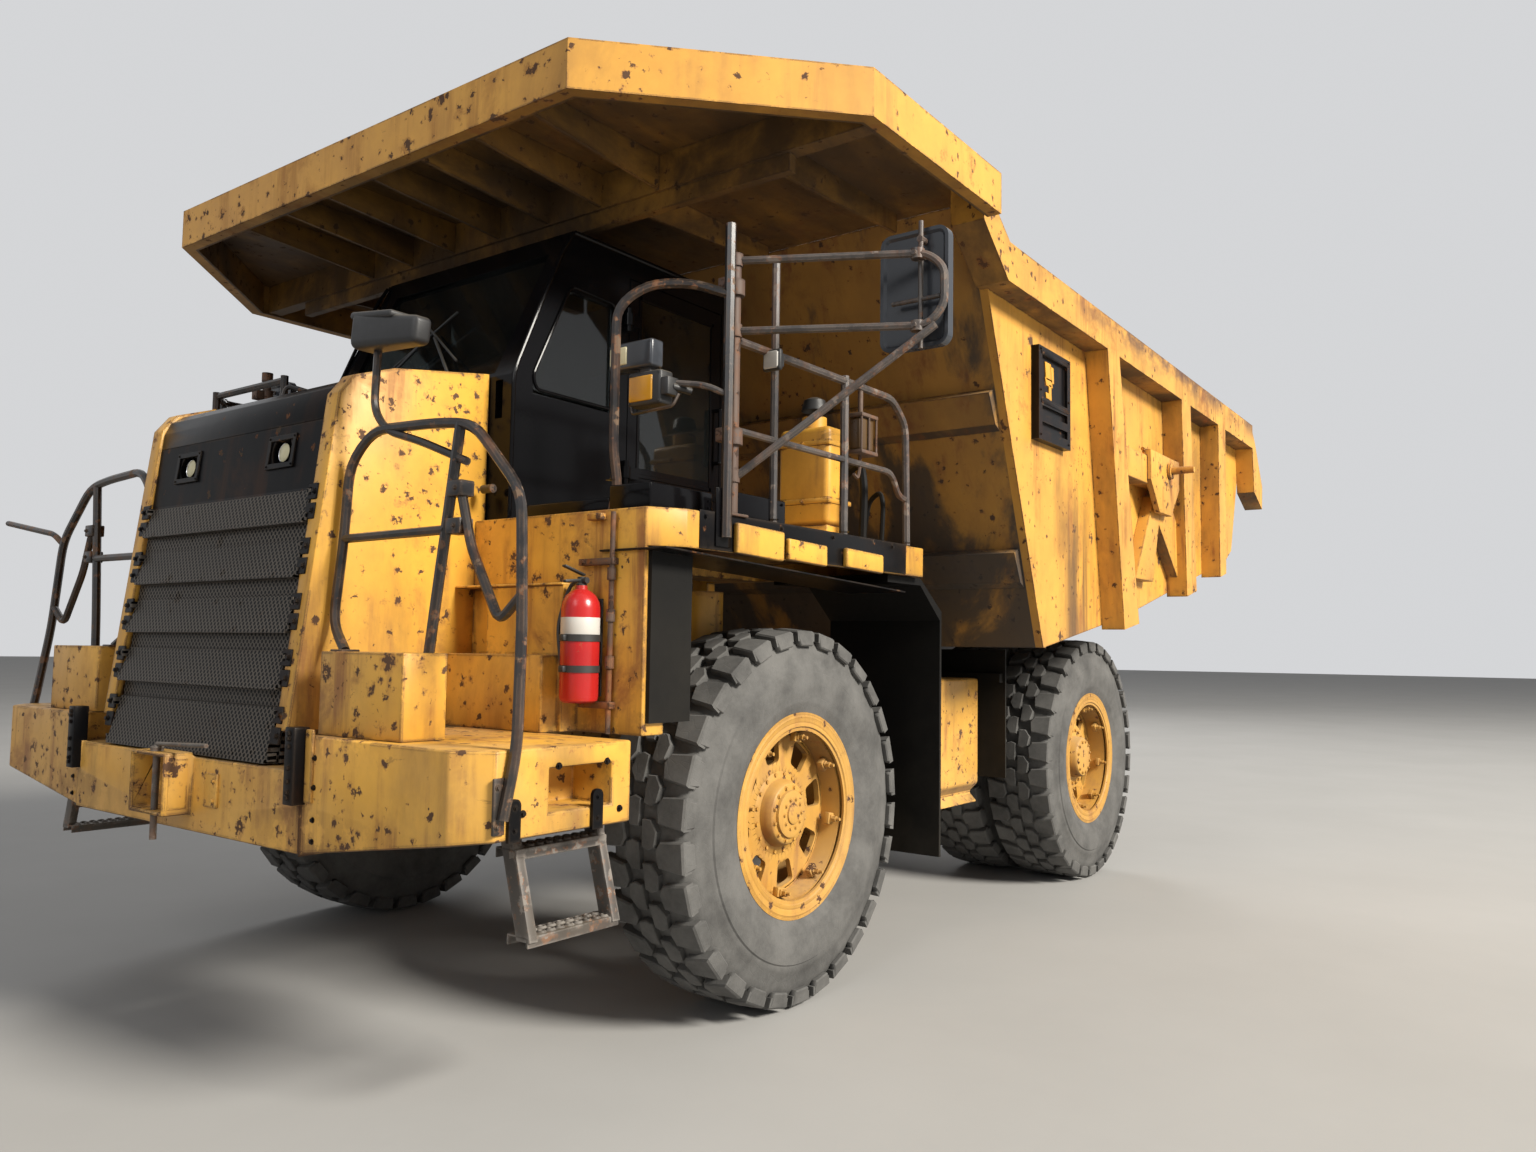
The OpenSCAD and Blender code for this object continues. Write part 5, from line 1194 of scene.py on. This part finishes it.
# %% Toe boxes and foot plates
bm = bmesh.new()
for low, high in (((3.10, 1.60, 2.291), (3.50, 1.835, 2.40)),
                  ((3.46, 1.04, 2.291), (3.50, 1.60, 2.35)),
                  ((2.65, 1.89, 2.291), (3.04, 1.905, 2.41))):
    box(bm, low, high, 0.008, 3)
box(bm, (3.13, 1.955, 2.15), (3.23, 1.964, 2.40), 0.003)
foot_plate = [(0.0, 0.04), (0.008, 0.045), (0.010, 0.045), (0.012, 0.026), (0.03, 0.024)]
left_posts = [(2.75, rail_y), (2.15, rail_y), (1.51, rail_y)]
for x, y in left_posts + [(3.48, 1.60)] + right_posts:
    turned(bm, foot_plate, (x, y, 2.40 if y == 1.60 else 2.291), 16)
for x, z in ((3.13, 2.36), (3.13, 2.33), (2.68, 2.39), (3.01, 2.39)):
    bolt(bm, (x, 1.835 if z < 2.38 else 1.905, z), (0, 1, 0), 0.008)
finished(bm, "deck_toe_boxes", "chassis", "cab_black")

# %% [markdown]
# On each side of the bed a bracket takes the pin that holds the bed up for service: a
# cross bar between two ribs, a tapered plate in front of it and two splayed legs. The
# right one sits a few millimetres lower, as its solid does.

# %% Bed brackets
def plate(bm, outline, y0, y1, soft=0.008):
    """A plate from its outline of [x, z], between two places along Y."""
    base = [bm.verts.new((x, y0, z)) for x, z in outline]
    face = bm.faces.new(base)
    grown = bmesh.ops.extrude_face_region(bm, geom=[face])["geom"]
    top = [v for v in grown if isinstance(v, bmesh.types.BMVert)]
    moved(bm, top, (0, y1 - y0, 0))
    rim = [e for e in once(e for v in top for e in v.link_edges) if all(
        v in top for v in e.verts)]
    bevelled(bm, rim, soft, 2)


for word, side, drop in (("left", 1, 0.0), ("right", -1, 0.006)):
    bm = bmesh.new()
    sided(bm, side, (-1.935, 2.25, 2.955 - drop), (-0.60, 2.372, 3.165 - drop), 0.010, 3)
    plate(bm, [(x, z - drop) for x, z in (
        (-1.17, 3.205), (-1.86, 3.205), (-1.86, 2.985), (-1.665, 2.765), (-1.375, 2.765),
        (-1.17, 2.985))], 2.36 * side, 2.402 * side)
    plate(bm, [(-1.45, 2.90 - drop), (-1.60, 2.80 - drop), (-1.42, 2.26), (-1.02, 2.26)],
          2.25 * side, 2.335 * side)
    plate(bm, [(-1.60, 2.90 - drop), (-1.93, 2.83 - drop), (-2.55, 2.24), (-2.13, 2.24),
               (-1.56, 2.70 - drop)], 2.25 * side, 2.335 * side)
    rod(bm, (-1.6, 2.36 * side, 3.1 - drop), (-1.6, 2.425 * side, 3.1 - drop), 0.062, 24)
    rod(bm, (-1.6, 2.42 * side, 3.1 - drop), (-1.6, 2.585 * side, 3.1 - drop), 0.030, 20,
        0.026)
    rod(bm, (-1.35, 2.30 * side, 3.16 - drop), (-1.35, 2.30 * side, 3.235 - drop), 0.018, 10)
    rod(bm, (-1.40, 2.30 * side, 3.235 - drop), (-1.30, 2.30 * side, 3.235 - drop), 0.014, 8)
    bracket = finished(bm, word + "_bed_bracket", body_of["retention_pins"], "bed_paint")
    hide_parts("retention_pins")

# %% [markdown]
# Further forward a black panel hangs on each bed side. It gets a bolted trim and a few
# plain amber marks, which mean nothing, in place of its lit figures.

# %% Side displays
marks = ((0.44, 3.44, 0.05, 0.055), (0.38, 3.43, 0.03, 0.05), (0.43, 3.375, 0.06, 0.025),
         (0.41, 3.315, 0.022, 0.05), (0.45, 3.29, 0.03, 0.018))
for word, side in both_sides:
    bm = bmesh.new()
    for x, z, wide, tall in marks:
        plate(bm, [(x - wide, z - tall), (x + wide * 0.7, z - tall), (x + wide, z + tall),
                   (x - wide * 0.8, z + tall)], 2.275 * side, 2.286 * side, 0.003)
    finished(bm, word + "_side_display_marks", body_of["side_panels"], "amber_lens")
    bm = bmesh.new()
    for z in (3.235, 3.535):
        sided(bm, side, (0.155, 2.296, z - 0.012), (0.585, 2.304, z + 0.012), 0.003)
    for x in (0.150, 0.590):
        for z in (3.03, 3.3, 3.55):
            bolt(bm, (x, 2.300 * side, z), (0, side, 0), 0.009)
    finished(bm, word + "_side_display_trim", body_of["side_panels"], "black_paint")

# %% [markdown]
# The cab is glossy black with round-cornered trims along its front pillars and roof, two
# wipers on the screen, and a pane, a frame and a waist strip on the door. What is on the
# door rides with it.

# %% Cab trims
for word, y in (("left", 0.952), ("right", -0.552)):
    tube(word + "_pillar_trim", [(3.14, y, 3.735), (3.205, y, 3.63), (3.478, y, 2.985),
                                 (3.482, y, 2.31)], 0.010, "chassis", "cab_black", 0.06)
    tube(word + "_window_trim", [(2.83, y, 2.93), (2.83, y, 3.46), (3.14, y, 3.475),
                                 (3.365, y, 2.99), (3.345, y, 2.925), (2.83, y, 2.92)],
         0.008, "chassis", "cab_black", 0.04)
    tube(word + "_roof_gutter", [(1.83, y, 3.742), (3.13, y, 3.742)], 0.011, "chassis",
         "cab_black")
bm = bmesh.new()
for y, way in ((0.52, -1), (-0.12, 1)):
    rod(bm, (3.488, y, 2.995), (3.512, y, 2.995), 0.022, 16)
    rod(bm, (3.505, y, 2.995), (3.395, y + way * 0.28, 3.27), 0.008, 10)
    rod(bm, (3.455, y + way * 0.02, 3.10), (3.335, y + way * 0.46, 3.40), 0.006, 8)
finished(bm, "wipers", "chassis", "black_plastic")
bm = bmesh.new()
box(bm, (2.065, 0.944, 2.62), (2.635, 0.949, 3.535), 0.002, 1)
finished(bm, "door_pane", body_of["cab_door"], "glass")
bm = bmesh.new()
box(bm, (1.99, 0.949, 2.545), (2.71, 0.957, 2.595), 0.003)
for low, high in (((2.045, 0.949, 2.60), (2.065, 0.955, 3.555)),
                  ((2.635, 0.949, 2.60), (2.655, 0.955, 3.555)),
                  ((2.045, 0.949, 3.535), (2.655, 0.955, 3.555)),
                  ((2.045, 0.949, 2.60), (2.655, 0.955, 2.62))):
    box(bm, low, high, 0.002, 1)
box(bm, (2.03, 0.949, 2.47), (2.17, 0.963, 2.50), 0.005)
finished(bm, "door_trims", body_of["cab_door"], "cab_black")

# %% [markdown]
# Behind the cab, on the end of the left deck, stands a yellow air cleaner housing with a
# turned cap. Short stiff hoses run beside it and along the frame, fixed at both ends.

# %% Air cleaner and hoses
bm = bmesh.new()
box(bm, (1.61, 1.26, 2.40), (1.83, 1.60, 2.95), 0.035, 4)
box(bm, (1.63, 1.28, 2.291), (1.81, 1.58, 2.41), 0.01)
for z in (2.52, 2.84):
    box(bm, (1.602, 1.252, z), (1.838, 1.608, z + 0.03), 0.008)
    bolt(bm, (1.838, 1.43, z + 0.015), (1, 0, 0), 0.014)
rod(bm, (1.72, 1.43, 2.94), (1.72, 1.43, 3.02), 0.07, 28)
finished(bm, "air_cleaner", "chassis", "yellow_paint")
bm = bmesh.new()
turned(bm, [(0.0, 0.04), (0.0, 0.105), (0.03, 0.115), (0.06, 0.10), (0.075, 0.04)],
       (1.72, 1.43, 3.02), 32)
finished(bm, "air_cleaner_cap", "chassis", "black_plastic")
tube("air_hose", [(1.70, 1.74, 2.30), (1.70, 1.75, 2.62), (1.66, 1.70, 2.76),
                  (1.62, 1.58, 2.70), (1.64, 1.50, 2.62)], 0.022, "chassis", "rubber_flap",
     0.08)
tube("brake_hose", [(1.60, 1.80, 2.30), (1.60, 1.81, 2.52), (1.58, 1.78, 2.60),
                    (1.57, 1.70, 2.55), (1.57, 1.66, 2.31)], 0.014, "chassis",
     "rubber_flap", 0.06)
for word, side in both_sides:
    for i, y in enumerate((0.50, 0.56, 0.61)):
        tube(word + "_frame_hose_" + str(i), [
            (2.75, y * side, 1.35 + i * 0.03), (1.9, (y + 0.02) * side, 1.30),
            (0.9, (y + 0.01) * side, 1.22 + i * 0.05), (0.2, y * side, 1.25)], 0.012,
             "chassis", "rubber_flap", 0.2, 8)

# %% [markdown]
# Behind the glass: a driver's seat with a stuffed cushion and back, each with a welt
# around it, on a pedestal; a dashboard, a steering column with its wheel, and a console.

# %% Cab interior
def pad(name, centre, half, crown, tilt=0.0, channels=3):
    """A stuffed pad: closed, crowned on its face, sides drawn in, sewn across. Each
    point of a subdivided cube moves by its place in the pad, from -1 to 1."""
    bm = bmesh.new()
    bmesh.ops.create_cube(bm, size=2.0)
    bmesh.ops.subdivide_edges(bm, edges=bm.edges, cuts=13, use_grid_fill=True)
    for v in bm.verts:
        a, b, c = v.co
        round_off = 1.0 - 0.10 * abs(c) ** 3 - 0.05 * (a * a * b * b)
        pull_a, pull_b = 1.0 - 0.035 * (1.0 - b * b), 1.0 - 0.03 * (1.0 - a * a)
        swell = crown * (1 - a * a) * (1 - b * b) if c > 0 else 0.0
        seam = -0.010 * max(0.0, math.cos(a * channels * math.pi) - 0.55) * (
            1 - b * b) if c > 0.9 else 0.0
        v.co = Vector((a * half[0] * round_off * pull_a, b * half[1] * round_off * pull_b,
                       c * half[2] * (1 - 0.12 * (a * a + b * b) * 0.5) + swell + seam))
    rotate(bm, bm.verts, math.radians(tilt), "Y")
    moved(bm, bm.verts, centre)
    piece = finished(bm, name, body_of["cab_interior"], "seat_cloth")
    soft = piece.modifiers.new("smooth", "SUBSURF")
    soft.levels = soft.render_levels = 1
    return piece


cushion = pad("driver_seat_cushion", (2.315, 0.20, 2.672), (0.25, 0.25, 0.062), 0.030)
pad("driver_seat_back", (2.085, 0.20, 3.06), (0.33, 0.24, 0.058), 0.028, 84.0)
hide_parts("cab_interior")

# %% [markdown]
# The rest of the cab is hardly seen through dark glass, so it is plain: a pedestal in
# bellows, the dashboard, a console with levers, and the steering wheel on its column.

# %% Cab furniture
wheel_at, wheel_lean = Vector((2.905, 0.20, 3.045)), math.radians(37.2)
bm = bmesh.new()
box(bm, (2.14, 0.02, 2.342), (2.46, 0.38, 2.46), 0.015)
for i in range(4):
    z = 2.46 + i * 0.036
    box(bm, (2.17 + i % 2 * 0.01, 0.05, z), (2.43 - i % 2 * 0.01, 0.35, z + 0.034), 0.012)
box(bm, (2.09, -0.02, 2.598), (2.53, 0.42, 2.618), 0.008)
box(bm, (3.17, -0.50, 2.342), (3.44, 0.90, 2.84), 0.03, 4)
box(bm, (3.12, -0.04, 2.80), (3.40, 0.44, 2.92), 0.03, 4)
box(bm, (2.05, -0.40, 2.342), (2.80, -0.13, 2.86), 0.025, 3)
for x in (2.45, 2.60, 2.72):
    rod(bm, (x, -0.27, 2.85), (x + 0.02, -0.27, 2.97), 0.011)
    rod(bm, (x + 0.02, -0.27, 2.96), (x + 0.024, -0.27, 3.0), 0.024)
rod(bm, (3.20, 0.20, 2.82), (2.91, 0.20, 3.04), 0.034, 20)
rod(bm, (2.935, 0.20, 3.02), (2.895, 0.20, 3.052), 0.05, 20)
for a in (90, 210, 330):
    away = Vector((0, math.cos(math.radians(a)), math.sin(math.radians(a)))) * 0.19
    away.rotate(Matrix.Rotation(wheel_lean, 3, "Y"))
    rod(bm, wheel_at, wheel_at + away, 0.012, 8)
finished(bm, "cab_furniture", body_of["cab_interior"], "cab_trim")
ring = [Vector((0, 0.2 * math.cos(a * math.pi / 16), 0.2 * math.sin(a * math.pi / 16)))
        for a in range(33)]
for v in ring:
    v.rotate(Matrix.Rotation(wheel_lean, 3, "Y"))
tube("steering_wheel_rim", [wheel_at + v for v in ring], 0.017, body_of["cab_interior"],
     "cab_trim", 0.01, 10)

# %% [markdown]
# The tyres are the first thing the camera meets. Each is a carcass spun from its section,
# with a stepped sidewall, and three kinds of block: a deep shoulder lug, its end that
# wraps over the edge, and a six-sided block in the middle rows. The section lists half of
# the carcass, from the bead out to the middle of the tread.

# %% Tyre section
tyre_radius, lug_depth, lug_count = 0.915, 0.034, 30
tread_base = tyre_radius - lug_depth
pitch = 2 * math.pi / lug_count
half_section = [
    (0.180, 0.450), (0.206, 0.468), (0.213, 0.498), (0.222, 0.515), (0.231, 0.545),
    (0.2365, 0.556), (0.2365, 0.566), (0.243, 0.585), (0.2495, 0.635), (0.250, 0.672),
    (0.2475, 0.700), (0.2405, 0.707), (0.2385, 0.735), (0.2325, 0.742), (0.2275, 0.790),
    (0.218, 0.822), (0.204, 0.852), (0.186, 0.872), (0.150, 0.880), (0.07, 0.881),
    (0.0, 0.881)]
print("tread pitch", round(pitch * tyre_radius, 3), "m")

# %% [markdown]
# A block starts as its outline on the carcass. The face is extruded outward, its points
# are drawn to the tread's radius, and the edge round its top is bevelled. The two
# shoulders are half a pitch apart, as on the real tyre.

# %% Tread blocks
def tread_block(bm, corners, low, high, soft, centre):
    """One block from its outline of [angle in pitches, place along Y], between radii."""
    base = [bm.verts.new(Vector(centre) + Vector((
        low * math.sin(a * pitch), y, low * math.cos(a * pitch)))) for a, y in corners]
    face = bm.faces.new(base)
    grown = bmesh.ops.extrude_face_region(bm, geom=[face])["geom"]
    top = [v for v in grown if isinstance(v, bmesh.types.BMVert)]
    for vertex, (a, y) in zip(sorted(top, key=lambda v: min(
            range(len(base)), key=lambda i: (base[i].co - v.co).length)), corners):
        reach = high - max(0.0, abs(y) - 0.185) * 0.25
        vertex.co = Vector(centre) + Vector((
            reach * math.sin(a * pitch), y * 0.985, reach * math.cos(a * pitch)))
    rim_edges = [e for e in once(e for v in top for e in v.link_edges) if all(
        v in top for v in e.verts)]
    bevelled(bm, rim_edges, soft, 1)


def tread(bm, centre):
    """Every block of one tyre."""
    shoulder = [(-0.42, 0.238), (-0.37, 0.115), (-0.15, 0.085), (0.24, 0.100),
                (0.36, 0.238)]
    middle = [(0.16, 0.008), (0.16, 0.060), (0.42, 0.098), (0.78, 0.085), (0.86, 0.045),
              (0.80, 0.008)]
    for side in (1, -1):
        for i in range(lug_count):
            shift = i + (0.5 if side < 0 else 0.0)
            tread_block(bm, [(a * side + shift, y * side) for a, y in shoulder],
                        tread_base - 0.03, tyre_radius, 0.008, centre)
            tread_block(bm, [(a * side + shift, y * side) for a, y in middle],
                        tread_base - 0.01, tyre_radius - 0.001, 0.005, centre)


def shoulder_wraps(bm, centre):
    """The outer ends of the shoulder lugs, which run down over the sidewall."""
    for side in (1, -1):
        for i in range(lug_count):
            shift = (i + (0.5 if side < 0 else 0.0)) * pitch - 0.02 * pitch * side
            made = box(bm, (-0.062, side * 0.223 - 0.018, 0.825),
                       (0.062, side * 0.223 + 0.018, 0.893), 0.007, 1)
            for v in made:
                share = (v.co.z - 0.825) / 0.068
                v.co.y += side * (0.006 - 0.012 * share)
                v.co.x *= 0.88 + 0.22 * share
            rotate(bm, made, shift, "Y")
            moved(bm, made, centre)


print("one tyre has", 6 * lug_count, "blocks and wraps")

# %% [markdown]
# The rear tyres come in pairs, and each pair is one piece. A face takes its rubber from
# how far it is from the axle: dusty grey sidewall, darker tread, and brown near the rim.

# %% Tyres
def tyre_at(bm, x, y):
    centre = (x, y, tyre_radius)
    profile = half_section + [(-a, r) for a, r in reversed(half_section[:-1])]
    spun(bm, profile, 96, centre)
    tread(bm, centre)
    shoulder_wraps(bm, centre)


front_y, rear_outer_y, rear_inner_y = 1.55, 1.535, 0.965
wheelbase = 3.99
rear_x = axle_x - wheelbase
tread_from, bead_to = 0.868, 0.52
for name, places in (
        ("front_left", [(axle_x, front_y)]), ("front_right", [(axle_x, -front_y)]),
        ("rear_left", [(rear_x, rear_outer_y), (rear_x, rear_inner_y)]),
        ("rear_right", [(rear_x, -rear_outer_y), (rear_x, -rear_inner_y)])):
    bm = bmesh.new()
    for x, y in places:
        tyre_at(bm, x, y)
    word = "tyre" if name.startswith("front") else "tyres"
    body = name + ("_wheel" if word == "tyre" else "_wheels")
    for face in bm.faces:
        middle = face.calc_center_median()
        out = math.hypot(middle.x - places[0][0], middle.z - tyre_radius)
        face.material_index = 1 if out > tread_from else 2 if out < bead_to else 0
    piece = finished(bm, name + "_treaded_" + word, body, "tyre", "tyre_tread",
                     "tyre_bead")
    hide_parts(name + "_" + word)

# %% [markdown]
# A rim of this kind is built up: a wide base, loose flanges, a bead seat and a lock ring,
# so its edge shows several steps. The base and the flange section are spun.

# %% Rim base
flange_section = [
    (0.196, 0.410), (0.1985, 0.449), (0.2075, 0.461), (0.2165, 0.492), (0.2075, 0.4985),
    (0.2165, 0.500), (0.2155, 0.487), (0.2195, 0.478), (0.2155, 0.466), (0.2160, 0.4585),
    (0.2125, 0.450), (0.2155, 0.443), (0.2160, 0.4305), (0.2095, 0.425), (0.209, 0.410)]


def rim_base(bm, x, y, side):
    """Base and flanges about the wheel's middle plane."""
    centre = (x, y, tyre_radius)
    spun(bm, [(-0.18, 0.4492), (-0.182, 0.41), (-0.06, 0.398), (0.10, 0.398),
              (0.182, 0.41), (0.18, 0.4492)], 72, centre)
    for way in (side, -side):
        spun(bm, [(a * way, r) for a, r in flange_section], 72, centre)


print("flange section of", len(flange_section), "points")

# %% [markdown]
# The disc inside the rim is a dish of bridged rings. Faces are left out for the hand
# holes, the rest is given a thickness, and the holes' corners are bevelled round.

# %% Rim disc
def disc(bm, x, y, side, dish, holes=8):
    """A dished disc with oval hand holes, cut through and given a thickness."""
    centre = Vector((x, y, tyre_radius))
    rings = [(0.0, 0.11), (0.004, 0.235), (0.0, 0.25), (-0.006, 0.372), (-0.010, 0.405)]
    tool = bmesh.new()
    spokes = holes * 6
    loops = []
    for depth, radius in rings:
        loop = [tool.verts.new((radius * math.sin(2 * math.pi * i / spokes), depth * side,
                                radius * math.cos(2 * math.pi * i / spokes)))
                for i in range(spokes)]
        loops.append([tool.edges.new((loop[i], loop[(i + 1) % spokes]))
                      for i in range(spokes)])
    for inner, outer in zip(loops, loops[1:]):
        bmesh.ops.bridge_loops(tool, edges=inner + outer)
    gone = []
    for face in tool.faces:
        at = face.calc_center_median()
        turn_share = math.degrees(math.atan2(at.x, at.z)) % (360 / holes) / (360 / holes)
        if 0.28 < math.hypot(at.x, at.z) < 0.372 and turn_share < 0.5:
            gone.append(face)
    bmesh.ops.delete(tool, geom=gone, context="FACES")
    bmesh.ops.recalc_face_normals(tool, faces=tool.faces)
    bmesh.ops.solidify(tool, geom=tool.faces, thickness=0.028)
    edges = [e for e in tool.edges if e.calc_length() < 0.03 and abs(
        e.verts[0].co.y - e.verts[1].co.y) > 0.02]
    bevelled(tool, edges, 0.02, 3)
    moved(tool, tool.verts, centre + Vector((0, dish * side, 0)))
    joined(bm, tool)


print("a disc has 8 hand holes")

# %% [markdown]
# Bolted wedge clamps hold the disc to the base, and the hub closes the middle with rings
# of bolts. Both are made on the left and turned over for the right.

# %% Clamps and hub
def clamps(bm, x, y, side, at, count=8):
    """Wedge clamps with a stud and nut, between disc and rim base."""
    for i in range(count):
        angle = 2 * math.pi * (i + 0.78) / count
        tool = bmesh.new()
        box(tool, (-0.030, at - 0.012, 0.352), (0.030, at + 0.022, 0.4), 0.006)
        box(tool, (-0.019, at + 0.018, 0.362), (0.019, at + 0.032, 0.392), 0.004)
        rod(tool, (0, at + 0.02, 0.377), (0, at + 0.075, 0.377), 0.0085, 8)
        rod(tool, (0, at + 0.03, 0.377), (0, at + 0.053, 0.377), 0.0165, 6)
        rotate(tool, tool.verts, angle, "Y")
        bmesh.ops.scale(tool, vec=(1, side, 1), verts=tool.verts)
        moved(tool, tool.verts, (x, y, tyre_radius))
        joined(bm, tool)


def hub(bm, x, y, side, profile, bolt_rings):
    """A turned hub with rings of [distance along Y, radius, count, size] bolts."""
    spun(bm, [(a * side, r) for a, r in profile], 48, (x, y, tyre_radius), closed=False)
    for at, radius, count, size in bolt_rings:
        for i in range(count):
            angle = 2 * math.pi * (i + 0.5) / count
            bolt(bm, (x + radius * math.sin(angle), y + at * side,
                      tyre_radius + radius * math.cos(angle)), (0, side, 0), size)


# %% [markdown]
# The front hub is deep with three rings of bolts, and the rear hub is a broad drum that
# also joins the two rims of a pair.

# %% Rims
front_hub = [(-0.10, 0.001), (-0.10, 0.215), (0.045, 0.215), (0.052, 0.208),
             (0.060, 0.168), (0.085, 0.160), (0.112, 0.150), (0.118, 0.142),
             (0.120, 0.118), (0.134, 0.114), (0.1385, 0.098), (0.140, 0.05),
             (0.147, 0.048), (0.150, 0.040), (0.150, 0.001)]
front_bolts = [(0.050, 0.190, 16, 0.016), (0.118, 0.130, 12, 0.013),
               (0.139, 0.072, 10, 0.010)]
rear_hub = [(-0.03, 0.001), (-0.03, 0.255), (0.070, 0.255), (0.080, 0.245),
            (0.086, 0.16), (0.150, 0.152), (0.163, 0.14), (0.168, 0.10),
            (0.172, 0.001)]
rear_bolts = [(0.082, 0.205, 20, 0.018), (0.166, 0.12, 12, 0.013)]
for name, side in (("front_left", 1), ("front_right", -1)):
    bm = bmesh.new()
    y = front_y * side
    rim_base(bm, axle_x, y, side)
    disc(bm, axle_x, y, side, 0.085)
    clamps(bm, axle_x, y, side, 0.135)
    hub(bm, axle_x, y + 0.035 * side, side, front_hub, front_bolts)
    piece = finished(bm, name + "_built_up_rim", name + "_wheel", "rim_paint")
    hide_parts(name + "_rim")
for name, side in (("rear_left", 1), ("rear_right", -1)):
    bm = bmesh.new()
    outer, inner = rear_outer_y * side, rear_inner_y * side
    for y in (outer, inner):
        rim_base(bm, rear_x, y, side)
        disc(bm, rear_x, y, side, 0.065)
    clamps(bm, rear_x, outer, side, 0.135)
    hub(bm, rear_x, outer, side, rear_hub, rear_bolts)
    rod(bm, (rear_x, inner, tyre_radius),
        (rear_x, (rear_outer_y - 0.02) * side, tyre_radius), 0.235, 32)
    piece = finished(bm, name + "_built_up_rims", name + "_wheels", "rim_paint")
    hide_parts(name + "_rims")
